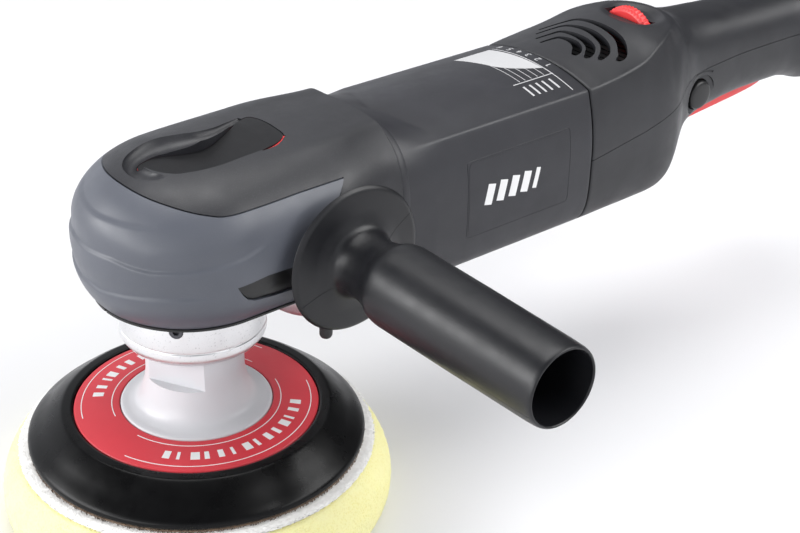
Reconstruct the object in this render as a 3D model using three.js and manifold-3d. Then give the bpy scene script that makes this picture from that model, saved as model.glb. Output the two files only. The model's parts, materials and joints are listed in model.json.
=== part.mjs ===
// Dual action polisher: geared head with bumper, motor housing, rear handle, side handle and backing pad.
// Millimetres, +Z up. The spindle axis is the Z axis, and Z = 0 is the pad's working face.
import * as THREE from 'three';
import { mergeVertices } from 'three/addons/utils/BufferGeometryUtils.js';
import Module from 'manifold-3d';

const wasm = await Module();
wasm.setup();

// ---- Driving dimensions ----
const GAP = 0.3;                 // clearance between neighbouring pieces
const AXIS_Z = 126;              // height of the motor's axis
const ORBIT_RADIUS = 7.5;        // half the 15 mm orbit
const ORBIT_ANGLE = 239;         // degrees, where the pad stands on its orbit at rest

const HEAD = {
  radius: 50, rearHalfWidth: 42.5, taperStart: 48, rear: 84,
  middle: 131, bottom: 107, lowReach: 36, frontReach: 36, topReach: 37,
  frontPower: 2.6, sidePower: 2.9,
};
const COVER_WALL = 2.8;
const CASE_WALL = 4.6;

const STATOR_RADIUS = 33.4;
const STATOR_BORE = 30.6;
const HANDLE_END = 404;
const BADGE = { x0: 122.5, x1: 187, z0: 104, z1: 142 };

const SIDE = {
  x: 46, bossRadius: 25, bossFace: 54.4, flangeRadius: 33, flangeFace: 58,
  neckRadius: 14, barrelRadius: 18.6, endRadius: 17.5, bore: 15.6, end: 181, thread: 5.2,
};

const COLLAR = { outer: 32.4, inner: 29.9, bottom: 81.2, top: 104.2 };
const NOSE = { radius: 29.5, bottom: 96.8 };
const PAD = {
  foamTop: 30, foamTopRadius: 79, foamBulge: 87, foamBottomRadius: 84,
  plateRadius: 75, rimZ: 34.2, ringRadius: 54.2, hubRadius: 33.6, hubZ: 51,
  neckRadius: 21.5, neckTop: 83.2,
};
const CROWN_TEETH = 30;
const PINION_TEETH = 10;
const CONE_REACH = 29;           // apex to the outer end of the teeth
const CONE_INNER = 21.5;
const SHAFT_RADIUS = 7.9;         // spindle
const ARMATURE_SHAFT_RADIUS = 4.9;
const LOCK = { x: -17.5, hingeX: 38, pinRadius: 2, pinBottom: 120.6, pinTop: 158, holes: 4 };
const DIAL = { x: 266, radius: 17, width: 6, axisZ: 155.5 };
const TRIGGER = { front: 288, hingeX: 370, halfWidth: 7.5 };
const BUTTON = { x: 299, z: 124.2, radius: 8, face: 25.2 };

const DEG = Math.PI / 180;
const padX = ORBIT_RADIUS * Math.cos(ORBIT_ANGLE * DEG);
const padY = ORBIT_RADIUS * Math.sin(ORBIT_ANGLE * DEG);

// ---- Materials ----
function material(color, roughness, metalness) {
  return () => new THREE.MeshStandardMaterial({ color, roughness, metalness });
}
const blackPlastic = material(0x1d1e20, 0.55, 0);
const greyPlastic = material(0x2b2d31, 0.5, 0);
const bumperRubber = material(0x4a4d52, 0.6, 0);
const blackRubber = material(0x111214, 0.5, 0);
const lightPlastic = material(0xbdbebf, 0.45, 0);
const redPlastic = material(0xc3202b, 0.4, 0);
const castAluminium = material(0xb9babd, 0.45, 0.9);
const steel = material(0x8f9297, 0.35, 1);
const darkSteel = material(0x3a3b3e, 0.5, 0.9);
const copper = material(0xb8733a, 0.4, 0.9);
const brass = material(0xb99a52, 0.4, 0.9);
const whiteLoop = material(0xe9e7e2, 0.95, 0);
const hookBrown = material(0x6b5a4c, 0.95, 0);
const yellowFoam = material(0xf2ea8a, 0.95, 0);
const boardGreen = material(0x1f6b45, 0.6, 0);

// ---- Solids: three.js shapes turned into manifold solids for cutting and joining ----
function solid(geometry) {
  const bare = geometry.index ? geometry.toNonIndexed() : geometry.clone();
  bare.deleteAttribute('normal');
  bare.deleteAttribute('uv');
  const merged = mergeVertices(bare, 1e-4);
  const triVerts = [];
  const index = merged.index.array;
  for (let i = 0; i < index.length; i += 3) {
    const [a, b, c] = [index[i], index[i + 1], index[i + 2]];
    if (a !== b && b !== c && c !== a) triVerts.push(a, b, c);
  }
  return new wasm.Manifold(new wasm.Mesh({
    numProp: 3,
    vertProperties: new Float32Array(merged.attributes.position.array),
    triVerts: new Uint32Array(triVerts),
  }));
}

function geometryOf(manifold) {
  const mesh = manifold.getMesh();
  const geometry = new THREE.BufferGeometry();
  geometry.setAttribute('position', new THREE.BufferAttribute(new Float32Array(mesh.vertProperties), 3));
  geometry.setIndex(new THREE.BufferAttribute(new Uint32Array(mesh.triVerts), 1));
  return geometry;
}

const polisher = new THREE.Group();

function part(name, shape, makeMaterial) {
  const mesh = new THREE.Mesh(geometryOf(shape), makeMaterial());
  mesh.name = name;
  mesh.geometry.computeVertexNormals();
  polisher.add(mesh);
}

function moved(geometry, x, y, z) {
  return solid(geometry.translate(x, y, z));
}

function block(x0, x1, y0, y1, z0, z1) {
  const box = new THREE.BoxGeometry(x1 - x0, y1 - y0, z1 - z0);
  return moved(box, (x0 + x1) / 2, (y0 + y1) / 2, (z0 + z1) / 2);
}

// Rod along Z, X or Y from one coordinate to the other.
function rodZ(x, y, radius, z0, z1, sides = 32, topRadius = radius) {
  const rod = new THREE.CylinderGeometry(topRadius, radius, z1 - z0, sides).rotateX(Math.PI / 2);
  return moved(rod, x, y, (z0 + z1) / 2);
}

function rodX(y, z, radius, x0, x1, sides = 32) {
  const rod = new THREE.CylinderGeometry(radius, radius, x1 - x0, sides).rotateZ(-Math.PI / 2);
  return moved(rod, (x0 + x1) / 2, y, z);
}

function rodY(x, z, radius, y0, y1, sides = 32) {
  const rod = new THREE.CylinderGeometry(radius, radius, y1 - y0, sides);
  return moved(rod, x, (y0 + y1) / 2, z);
}

// Turned solid about a vertical axis: outline of [radius, z] points that starts and ends on the axis.
function turned(outline, x = 0, y = 0, sides = 48) {
  const points = outline.map(([r, z]) => new THREE.Vector2(r, z));
  const lathe = new THREE.LatheGeometry(points, sides).rotateX(Math.PI / 2);
  return moved(lathe, x, y, 0);
}

// Prism of an [a, b] outline, extruded along Z between two heights.
function prismZ(outline, z0, z1) {
  const shape = new THREE.Shape(outline.map(([x, y]) => new THREE.Vector2(x, y)));
  const body = new THREE.ExtrudeGeometry(shape, { depth: z1 - z0, bevelEnabled: false, steps: 1 });
  return moved(body, 0, 0, z0);
}

// Prism of an [x, z] outline, extruded along Y.
function prismY(outline, y0, y1) {
  const shape = new THREE.Shape(outline.map(([x, z]) => new THREE.Vector2(x, z)));
  const body = new THREE.ExtrudeGeometry(shape, { depth: y1 - y0, bevelEnabled: false, steps: 1 });
  return moved(body.rotateX(Math.PI / 2), 0, y1, 0);
}

// Prism of a [y, z] outline, extruded along X.
function prismX(outline, x0, x1) {
  const shape = new THREE.Shape(outline.map(([y, z]) => new THREE.Vector2(y, z)));
  const body = new THREE.ExtrudeGeometry(shape, { depth: x1 - x0, bevelEnabled: false, steps: 1 });
  body.applyMatrix4(new THREE.Matrix4().set(0, 0, 1, x0, 1, 0, 0, 0, 0, 1, 0, 0, 0, 0, 0, 1));
  return solid(body);
}

// Loft through closed rings of equal length, each symmetric about Y = 0 with point j facing point n-1-j.
function loft(rings) {
  const count = rings[0].length;
  const positions = rings.flat(2);
  const index = [];
  for (let i = 0; i + 1 < rings.length; i += 1) {
    for (let j = 0; j < count; j += 1) {
      const a = i * count + j;
      const b = i * count + ((j + 1) % count);
      index.push(a, b, b + count, a, b + count, a + count);
    }
  }
  const last = (rings.length - 1) * count;
  for (let j = 0; j < count / 2 - 1; j += 1) {
    const k = count - 1 - j;
    index.push(j, k, k - 1, j, k - 1, j + 1);
    index.push(last + j, last + j + 1, last + k - 1, last + j, last + k - 1, last + k);
  }
  const geometry = new THREE.BufferGeometry();
  geometry.setAttribute('position', new THREE.BufferAttribute(new Float32Array(positions), 3));
  geometry.setIndex(index);
  const shape = solid(geometry);
  if (shape.volume() > 0) return shape;
  for (let i = 0; i < index.length; i += 3) [index[i], index[i + 1]] = [index[i + 1], index[i]];
  geometry.setIndex(index);
  return solid(geometry);
}

function mix(a, b, t) {
  return a + (b - a) * t;
}

function ease(t) {
  const s = Math.min(1, Math.max(0, t));
  return s * s * (3 - 2 * s);
}

// ---- Head shape: a U in plan, swelling at mid height and rolling over into a crowned top ----
function headHalfWidth(x) {
  return mix(HEAD.radius, HEAD.rearHalfWidth, ease((x - HEAD.taperStart) / (HEAD.rear - HEAD.taperStart)));
}

function headOutline(inset) {
  const points = [];
  const FRONT_STEPS = 7;
  const SIDE_STOPS = [22, 48, 60, 72, HEAD.rear];
  for (let i = 0; i <= FRONT_STEPS; i += 1) {
    const angle = ((i + 0.12) / (FRONT_STEPS + 0.12)) * 90 * DEG;
    points.push([-(HEAD.radius - inset) * Math.cos(angle), (HEAD.radius - inset) * Math.sin(angle)]);
  }
  SIDE_STOPS.forEach((x) => points.push([x, headHalfWidth(x) - inset]));
  return points;
}

function headSolid(inset, bottom, rear = HEAD.rear) {
  const outline = headOutline(inset);
  const skirt = 0.835;
  const levels = [
    [-1, skirt], [-1, skirt], [-1, 0.93], [1, 1], [1, 0.97], [1, 0.9], [1, 0.76], [1, 0.5], [1, 0.06],
  ];
  const rings = levels.map(([side, q], level) => {
    const half = outline.map(([x, y]) => {
      const t = ease((x + 40) / 60);
      const power = side < 0 ? HEAD.frontPower : mix(HEAD.frontPower, HEAD.sidePower, t);
      const reach = (side < 0 ? HEAD.lowReach : mix(HEAD.frontReach, HEAD.topReach, t)) - inset;
      const rise = reach * (1 - q ** power) ** (1 / power);
      const px = x < 0 ? x * q : Math.min(x, rear);
      return [px, y * q, level === 0 ? HEAD.bottom - 30 : HEAD.middle + side * rise];
    });
    return [...half, ...half.map(([x, y, z]) => [x, -y, z]).reverse()];
  });
  return loft(rings).trimByPlane([0, 0, 1], bottom);
}

// ---- Long housings: rounded-square sections along X ----
// Stations: [x, half width, bottom, top, power]
const BODY_STATIONS = [
  [84.6, 40.6, 83.2, 164.9, 3.3], [89, 41, 82.2, 165, 3.4],
  [98, 41.4, 81, 162.2, 3.8], [202, 41.2, 81, 162, 3.8],
];
const REAR_STATIONS = [
  [202.8, 41.2, 81, 162, 3.8], [222, 40.9, 81, 164, 3.8], [242, 40.5, 81, 167.3, 3.7],
  [254, 40, 81, 169.3, 3.6], [262, 38.7, 81.6, 170, 3.5], [268, 36.9, 83.4, 170.2, 3.4],
  [273, 34.4, 87.4, 170, 3.3], [278.5, 31, 94.6, 169.6, 3.1], [284, 28.2, 101.6, 167.6, 3],
  [293, 25, 107, 164, 3], [300, 23.6, 109.2, 162.4, 3], [345, 20.9, 113.3, 159.4, 2.7],
  [374, 21.4, 113, 159, 2.5], [399, 25.5, 104, 158.6, 2.7], [HANDLE_END, 24, 106, 157, 2.6],
];

function sectionRing([x, halfWidth, bottom, top, power], inset, steps = 9) {
  const half = [];
  const middle = (bottom + top) / 2;
  const reach = (top - bottom) / 2 - inset;
  for (let i = 0; i <= steps; i += 1) {
    const angle = mix(-90 + 0.6, 90 - 0.6, i / steps) * DEG;
    const c = Math.cos(angle);
    const s = Math.sin(angle);
    const y = (halfWidth - inset) * c ** (2 / power);
    const z = middle + reach * Math.sign(s) * Math.abs(s) ** (2 / power);
    half.push([x, y, z]);
  }
  return [...half, ...half.map(([px, y, z]) => [px, -y, z]).reverse()];
}

function housing(stations, inset) {
  return loft(stations.map((station) => sectionRing(station, inset)));
}

// Belly of the gear housing, which reaches down to the motor housing's bore behind the collar.
const BELLY_STATIONS = [
  [34, 24, 99, 150, 2.4], [38, 31, 94, 156, 2.6], [46, 36.5, 89.5, 160, 2.8], [58, 38.6, 87.6, 161, 3.1],
  [HEAD.rear, 38.8, 87.4, 161, 3.1],
];

// ---- Head castings, cover, bumper ----
const headOuter = headSolid(0, HEAD.bottom);
const sideBoss = rodY(SIDE.x, AXIS_Z, SIDE.bossRadius, -SIDE.bossFace, SIDE.bossFace);
const sideBossClear = rodY(SIDE.x, AXIS_Z, SIDE.bossRadius + GAP, -70, 70);
const caseOuter = headSolid(COVER_WALL + GAP, HEAD.bottom);
const coverInner = headSolid(COVER_WALL, HEAD.bottom - 10);

// Seam between bumper and cover, seen from the side: it climbs over the front and drops back behind the boss.
const SEAM = [[-60, 163.3], [-34, 163], [-30, 161.3], [-20, 158.5], [-9, 156.4], [27, 157], [50, 157.3]];
const SEAM_REAR = [[46, 150], [58, 90]];

const bumperZone = prismY([[-60, 90], ...SEAM, ...SEAM_REAR], -70, 70);
const bellyClear = housing(BELLY_STATIONS, -GAP).subtract(block(0, 90, -60, 60, HEAD.bottom + 6, 180));
const coverZone = prismY([
  [-60, 200], ...SEAM.map(([x, z]) => [x + GAP, z + GAP]), ...SEAM_REAR.map(([x, z]) => [x + 2 * GAP, z]),
  [110, 90], [110, 200],
], -70, 70);

// The lock tongue in plan, its window through the cover and the finger trough round its front.
const TONGUE_PLAN = [
  [40.5, -12], [34.5, -16], [15, -17.8], [5.5, -18.3], [-2, -17.4], [-12.8, -12.4], [-17, -6.8], [-19.5, 4.5],
  [-17.7, 9], [-12.8, 11.4], [-5.8, 10.8], [3.5, 6], [11.7, 3.3], [20.6, 5], [35.5, 11.6], [40.5, 12],
];

const TROUGH_PLAN = [
  [-10, -12], [-16, -16], [-24.2, -10.8], [-26.6, -3.3], [-25.9, 3.2], [-20.4, 13.1], [-12.4, 19],
  [-4.4, 19], [5, 15.6], [14.3, 12.6], [34.9, 14.6], [38, 13], [34, -8],
];

// Clockwise plan moved outwards, each point along the normal of its neighbours.
function grown(plan, by) {
  return plan.map(([x, y], i) => {
    const [x0, y0] = plan.at(i - 1);
    const [x1, y1] = plan[(i + 1) % plan.length];
    const reach = by / Math.hypot(x1 - x0, y1 - y0);
    return [x - (y1 - y0) * reach, y + (x1 - x0) * reach];
  });
}
const tongueWindow = prismZ(grown(TONGUE_PLAN, 0.8), 140, 180);
const tongueTrough = prismZ(TROUGH_PLAN, 150, 180)
  .intersect(prismY([[-30, 163.2], [0, 163.4], [20, 165], [36, 167], [40, 180], [-30, 180]], -30, 30));

const ventOutline = [[-8.6, 127], [-4, 121], [0, 118.9], [24, 117], [24, 128.4]];
const ventOutlineClear = [[-9.4, 127.3], [-4.4, 120.4], [-0.3, 118.3], [25, 116.4], [25, 129]];

function coverShape() {
  return headOuter.subtract(coverInner).intersect(coverZone).subtract(sideBossClear)
    .subtract(tongueWindow).subtract(tongueTrough).subtract(bellyClear);
}
part('head_cover', coverShape(), blackPlastic);

function bumperShape() {
  return headOuter.subtract(coverInner).intersect(bumperZone).subtract(sideBossClear)
    .subtract(prismY(ventOutlineClear, -70, 70)).subtract(bellyClear);
}
part('head_bumper', bumperShape(), bumperRubber);

['right', 'left'].forEach((side, i) => {
  const [y0, y1] = i === 0 ? [-70, 0] : [0, 70];
  const insert = headSolid(0.8, HEAD.bottom).subtract(headSolid(COVER_WALL, HEAD.bottom - 5))
    .intersect(prismY(ventOutline, y0, y1)).subtract(sideBossClear);
  part(`vent_insert_${side}`, insert, blackRubber);
});

const GEAR_ROOM_TOP = 152;
const ARMATURE_WALL = [58, 72];
const FAN_ROOM = 33;
const LOWER_BEARING = { radius: 16, bottom: 97.5, top: 106.5 };
const UPPER_BEARING = { radius: 11, bottom: 146.5, top: 153.5 };
const FRONT_BEARING = { radius: 13, start: 61, end: 70 };

// Room under the tongue and the trough, deep enough for the tongue's tip at full travel.
const lockRecess = prismY([[-30, 156], [10, 156], [50, 160.6], [50, 180], [-30, 180]], -30, 30)
  .intersect(prismZ(grown(TONGUE_PLAN, 1.2), 150, 185).add(prismZ(grown(TROUGH_PLAN, 0.8), 150, 185)));

function gearHousingShape() {
  const room = headSolid(COVER_WALL + CASE_WALL, HEAD.bottom + 5)
    .intersect(block(-60, ARMATURE_WALL[0], -60, 60, 90, GEAR_ROOM_TOP));
  const fanRoom = rodX(0, AXIS_Z, FAN_ROOM, ARMATURE_WALL[1], 90, 32);
  const upperWeb = rodZ(0, 0, UPPER_BEARING.radius + 4, 146, 165, 24);
  const lockGuide = rodZ(LOCK.x, 0, 6.6, 146, 160, 16);
  return caseOuter
    .subtract(room.subtract(upperWeb).subtract(lockGuide))
    .add(rodZ(0, 0, NOSE.radius, NOSE.bottom, HEAD.bottom + 5, 40))
    .add(housing(BELLY_STATIONS, 0).subtract(block(0, 90, -60, 60, HEAD.bottom + 5, 180)))
    .add(sideBoss.subtract(block(-60, 90, -38, 38, 80, 160)))
    .subtract(fanRoom)
    .subtract(rodX(0, AXIS_Z, FRONT_BEARING.radius + GAP, FRONT_BEARING.start - 0.5, 80, 24))
    .subtract(rodX(0, AXIS_Z, 10.5, 40, 80, 20))
    .subtract(rodZ(0, 0, LOWER_BEARING.radius + GAP, LOWER_BEARING.bottom - GAP, 130, 24))
    .subtract(rodZ(0, 0, 13, 80, 130, 24))
    .subtract(rodZ(0, 0, 29.8, 108.7, 130, 40))
    .subtract(rodZ(0, 0, UPPER_BEARING.radius + GAP, 140, UPPER_BEARING.top + GAP, 24))
    .subtract(rodZ(LOCK.x, 0, LOCK.pinRadius + GAP, 130, 180, 12))
    .subtract(rodZ(LOCK.x, 0, 4.8, 150.3, 180, 16))
    .subtract(lockRecess)
    .subtract(rodY(SIDE.x, AXIS_Z, SIDE.thread, -70, -38, 16))
    .subtract(rodY(SIDE.x, AXIS_Z, SIDE.thread, 38, 70, 16))
    .subtract(headScrewHoles(70, 90));
}

const HEAD_SCREW_SPREAD = 27;
const SCREW_PLACES = [[1, 1], [1, -1], [-1, 1], [-1, -1]];

function headScrewHoles(from, to) {
  return SCREW_PLACES
    .map(([sy, sz]) => rodX(sy * HEAD_SCREW_SPREAD, AXIS_Z + sz * HEAD_SCREW_SPREAD, 2 + GAP, from, to, 12))
    .reduce((all, hole) => all.add(hole));
}
part('gear_housing', gearHousingShape(), castAluminium);

function sealShape() {
  const flange = headSolid(1.2, HEAD.bottom + 0.1).subtract(block(-60, 90, -60, 60, HEAD.bottom + 1.6, 200));
  return flange.translate([0, 0, -1.9]).subtract(rodZ(0, 0, NOSE.radius + GAP, 90, 120, 40))
    .subtract(sideBossClear).subtract(block(28, 90, -60, 60, 90, 120));
}
part('head_seal', sealShape(), blackRubber);

// ---- Spindle collar and its set screws ----
const SET_SCREW_ANGLE = 225;
const SET_SCREW_Z = 99;

function radialRod(angle, z, radius, r0, r1) {
  const rod = new THREE.CylinderGeometry(radius, radius, r1 - r0, 12).rotateZ(-Math.PI / 2);
  rod.translate((r0 + r1) / 2, 0, z).rotateZ(angle * DEG);
  return solid(rod);
}

function collarShape() {
  const { outer, inner, bottom, top } = COLLAR;
  const body = turned([[0, bottom], [outer - 1.6, bottom], [outer, bottom + 2.4], [outer, top], [0, top]]);
  return body.subtract(rodZ(0, 0, inner, 70, 120, 48))
    .subtract(radialRod(SET_SCREW_ANGLE, SET_SCREW_Z, 2.8 + GAP, 25, 40));
}
part('spindle_collar', collarShape(), castAluminium);
part('collar_set_screw', radialRod(SET_SCREW_ANGLE, SET_SCREW_Z, 2.8, NOSE.radius + GAP, 33.2), darkSteel);

// ---- Bearings ----
function bearingZ(name, outer, inner, z0, z1, x = 0, y = 0) {
  const ring = rodZ(x, y, outer, z0, z1, 20).subtract(rodZ(x, y, inner, z0 - 1, z1 + 1, 16));
  part(name, ring, steel);
}

function bearingX(name, outer, inner, x0, x1) {
  const ring = rodX(0, AXIS_Z, outer, x0, x1, 20).subtract(rodX(0, AXIS_Z, inner, x0 - 1, x1 + 1, 16));
  part(name, ring, steel);
}

const SPINDLE_BORE = SHAFT_RADIUS + GAP;
bearingZ('spindle_bearing_lower', LOWER_BEARING.radius, SPINDLE_BORE,
  LOWER_BEARING.bottom, LOWER_BEARING.top);
bearingZ('spindle_bearing_upper', UPPER_BEARING.radius, 5 + GAP, UPPER_BEARING.bottom, UPPER_BEARING.top);

const ARMATURE_BORE = ARMATURE_SHAFT_RADIUS + GAP;
bearingX('armature_bearing_front', FRONT_BEARING.radius, ARMATURE_BORE,
  FRONT_BEARING.start, FRONT_BEARING.end);
bearingX('armature_bearing_rear', 9.5, ARMATURE_BORE, 170, 177);

// ---- Bevel gears: tooth outline on the outer cone, shrunk towards the apex ----
function bevelGear(teeth, pitchAngle, outer, inner, backDepth) {
  const module = (2 * outer * Math.sin(pitchAngle)) / teeth;
  const pitch = (2 * Math.PI) / teeth;
  const profile = [[-0.22, -1.15], [-0.09, 0.75], [0.09, 0.75], [0.22, -1.15]];
  const ring = [];
  for (let i = 0; i < teeth; i += 1) {
    profile.forEach(([along, height]) => {
      const cone = pitchAngle + (height * module) / outer;
      const turn = (i + along) * pitch;
      ring.push([Math.sin(cone) * Math.cos(turn), Math.sin(cone) * Math.sin(turn), Math.cos(cone)]);
    });
  }
  const positions = [];
  ring.forEach(([x, y, z]) => positions.push(x * outer, y * outer, z * outer));
  ring.forEach(([x, y, z]) => positions.push(x * inner, y * inner, z * inner));
  const floor = Math.cos(pitchAngle);
  positions.push(0, 0, floor * outer + backDepth, 0, 0, floor * inner);
  const count = ring.length;
  const index = [];
  for (let j = 0; j < count; j += 1) {
    const k = (j + 1) % count;
    index.push(j, count + k, k, j, count + j, count + k);
    index.push(j, k, 2 * count);
    index.push(count + j, 2 * count + 1, count + k);
  }
  const geometry = new THREE.BufferGeometry();
  geometry.setAttribute('position', new THREE.BufferAttribute(new Float32Array(positions), 3));
  geometry.setIndex(index);
  return geometry;
}
const crownAngle = Math.atan(CROWN_TEETH / PINION_TEETH);
const pinionAngle = Math.PI / 2 - crownAngle;

// The crown gear's cone opens downwards from the apex at the motor axis.
function crownGearShape() {
  const teeth = bevelGear(CROWN_TEETH, crownAngle, CONE_REACH, CONE_INNER, 6);
  teeth.rotateX(Math.PI).rotateZ(Math.PI / CROWN_TEETH).translate(0, 0, AXIS_Z);
  let gear = solid(teeth);
  for (let i = 0; i < LOCK.holes; i += 1) {
    const turn = (i / LOCK.holes) * 2 * Math.PI;
    gear = gear.subtract(rodZ(Math.cos(turn) * LOCK.x, Math.sin(turn) * LOCK.x, 2.4, 100, 130, 8));
  }
  return gear.subtract(rodZ(0, 0, SHAFT_RADIUS + GAP, 100, 130, 20));
}
part('crown_gear', crownGearShape(), steel);

function pinionShape() {
  const teeth = bevelGear(PINION_TEETH, pinionAngle, CONE_REACH, CONE_INNER, 0);
  teeth.rotateY(Math.PI / 2).translate(0, 0, AXIS_Z);
  return solid(teeth).subtract(rodX(0, AXIS_Z, ARMATURE_SHAFT_RADIUS + GAP, 10, 50, 16));
}
part('pinion', pinionShape(), steel);

// ---- Spindle, eccentric, pad bearing and arbor ----
part('spindle_shaft', turned([
  [0, 92.8], [6, 92.8], [6, 96.2], [SHAFT_RADIUS, 96.6], [SHAFT_RADIUS, 123], [5, 124.5],
  [5, UPPER_BEARING.top], [0, UPPER_BEARING.top],
], 0, 0, 20), steel);

const ECCENTRIC = { bottom: 83.9, top: 96.2, radius: 28.6 };
const PAD_BEARING = { radius: 14, inner: 6, bottom: 84.2, top: 92 };

function eccentricShape() {
  const disc = rodZ(0, 0, ECCENTRIC.radius, ECCENTRIC.bottom, ECCENTRIC.top, 40);
  return disc.subtract(rodZ(padX, padY, PAD_BEARING.radius + GAP, 80, PAD_BEARING.top + GAP, 24))
    .subtract(rodZ(0, 0, 6 + GAP, 80, 100, 24));
}
part('eccentric_counterweight', eccentricShape(), steel);

const PAD_BORE = PAD_BEARING.inner + GAP;
bearingZ('pad_bearing', PAD_BEARING.radius, PAD_BORE, PAD_BEARING.bottom, PAD_BEARING.top, padX, padY);

part('pad_arbor', turned([
  [0, 60], [5, 60], [5, 83.6], [PAD_BEARING.inner, 83.6], [PAD_BEARING.inner, 92], [0, 92],
], padX, padY, 16), steel);

// ---- Backing plate and foam pad ----
function hubShape() {
  const { neckRadius, neckTop, hubRadius, hubZ } = PAD;
  const outline = [
    [0, hubZ - 3.4], [hubRadius, hubZ - 3.4], [hubRadius, hubZ - 0.6], [hubRadius - 1, hubZ],
    [27.5, hubZ + 1.6], [24, hubZ + 5], [22.2, hubZ + 10], [neckRadius, hubZ + 16],
    [neckRadius - 0.4, neckTop], [0, neckTop],
  ];
  const neck = turned(outline, padX, padY, 32);
  const flats = [150, 330].map((angle) => {
    const cutter = new THREE.BoxGeometry(10, 40, 14).translate(21.6, 0, 74);
    return moved(cutter.rotateZ((ORBIT_ANGLE + angle) * DEG), padX, padY, 0);
  });
  return neck.subtract(flats[0]).subtract(flats[1])
    .subtract(rodZ(padX, padY, 5 + GAP, 59.7, 100, 16))
    .subtract(rodZ(padX, padY, 8, 40, 57, 16))
    .subtract(rodZ(padX, padY, 3.4, 50, 70, 12));
}
part('pad_hub', hubShape(), lightPlastic);

part('pad_ring', turned([
  [PAD.hubRadius + GAP, 47.4], [PAD.ringRadius, 47.4], [PAD.ringRadius, 49.2], [PAD.hubRadius + GAP, 50.6],
  [PAD.hubRadius + GAP, 47.4],
], padX, padY, 40), redPlastic);

part('backing_plate', turned([
  [9, PAD.rimZ], [PAD.plateRadius - 1.5, PAD.rimZ], [PAD.plateRadius, PAD.rimZ + 1.2],
  [PAD.plateRadius, PAD.rimZ + 2.6], [73, 38.6], [66, 44.4], [58.8, 48.8], [56, 48.9],
  [PAD.ringRadius + GAP, 47.1], [9, 47.1], [9, PAD.rimZ],
], padX, padY, 48), blackRubber);

part('pad_bolt', turned([
  [0, 42], [7.6, 42], [7.6, 56.6], [3.1, 56.6], [3.1, 59.6], [0, 59.6],
], padX, padY, 16), darkSteel);

function disc(radius, z0, z1) {
  return rodZ(padX, padY, radius, z0, z1, 48);
}
part('hook_layer', disc(74.4, 32.9, 33.9), hookBrown);
part('loop_layer', disc(79, 30.4, 32.6), whiteLoop);
part('foam_pad', turned([
  [0, 0], [PAD.foamBottomRadius - 2, 0], [PAD.foamBottomRadius + 1, 3],
  [PAD.foamBulge, 9], [PAD.foamBulge, 15], [84.5, 23], [PAD.foamTopRadius, PAD.foamTop], [0, PAD.foamTop],
], padX, padY, 48), yellowFoam);

// ---- Motor housing and the motor ----
function motorHousingShape() {
  const outer = housing(BODY_STATIONS, 0);
  const bore = rodX(0, AXIS_Z, STATOR_RADIUS + 0.6, 101, 220, 32);
  const badgeRecess = housing(BODY_STATIONS, -3)
    .subtract(housing(BODY_STATIONS, 1.1))
    .intersect(block(BADGE.x0 - GAP, BADGE.x1 + GAP, -60, 60, BADGE.z0 - GAP, BADGE.z1 + GAP));
  return outer.subtract(bore)
    .subtract(rodX(0, AXIS_Z, FAN_ROOM, 80, 110, 32))
    .subtract(headScrewHoles(80, 99))
    .subtract(badgeRecess);
}
part('motor_housing', motorHousingShape(), greyPlastic);

const skin = housing(BODY_STATIONS, 0.1).subtract(housing(BODY_STATIONS, 0.8));
part('badge_right', skin.intersect(block(BADGE.x0, BADGE.x1, -60, 0, BADGE.z0, BADGE.z1)), blackPlastic);
part('badge_left', skin.intersect(block(BADGE.x0, BADGE.x1, 0, 60, BADGE.z0, BADGE.z1)), blackPlastic);

SCREW_PLACES.forEach(([sy, sz], i) => {
  const screw = rodX(sy * HEAD_SCREW_SPREAD, AXIS_Z + sz * HEAD_SCREW_SPREAD, 2, 72.5, 98.5, 12);
  part(`head_screw_${i + 1}`, screw, darkSteel);
});

const CORE = { front: 104, rear: 144, radius: 20 };

part('armature_shaft', rodX(0, AXIS_Z, ARMATURE_SHAFT_RADIUS, 20, 178, 16), steel);

function armatureCoreShape() {
  const slots = 12;
  const outline = [];
  for (let i = 0; i < slots; i += 1) {
    [[-0.38, CORE.radius], [0.38, CORE.radius], [0.42, CORE.radius - 7], [0.58, CORE.radius - 7]]
      .forEach(([along, r]) => {
        const turn = ((i + along) / slots) * 2 * Math.PI;
        outline.push([r * Math.cos(turn), AXIS_Z + r * Math.sin(turn)]);
      });
  }
  return prismX(outline, CORE.front, CORE.rear).add(rodX(0, AXIS_Z, 12.6, CORE.front - 8, CORE.rear + 8, 16))
    .subtract(rodX(0, AXIS_Z, ARMATURE_SHAFT_RADIUS + GAP, 90, 190, 16));
}
part('armature_core', armatureCoreShape(), darkSteel);

function tubeX(radius, inner, x0, x1, sides = 32) {
  return rodX(0, AXIS_Z, radius, x0, x1, sides).subtract(rodX(0, AXIS_Z, inner, x0 - 1, x1 + 1, 16));
}
part('commutator', tubeX(12, ARMATURE_SHAFT_RADIUS + GAP, CORE.rear + 8.5, CORE.rear + 23, 24), copper);

function fanShape() {
  let fan = rodX(0, AXIS_Z, 14, 76, 88, 18).add(rodX(0, AXIS_Z, 30.5, 76, 78, 27));
  const blades = 9;
  for (let i = 0; i < blades; i += 1) {
    const blade = new THREE.BoxGeometry(11, 18, 1.8).translate(82.5, 21, 0);
    blade.rotateX((i / blades) * 2 * Math.PI).translate(0, 0, AXIS_Z);
    fan = fan.add(solid(blade));
  }
  return fan.subtract(rodX(0, AXIS_Z, ARMATURE_SHAFT_RADIUS + GAP, 70, 95, 16));
}
part('cooling_fan', fanShape(), blackPlastic);

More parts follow.
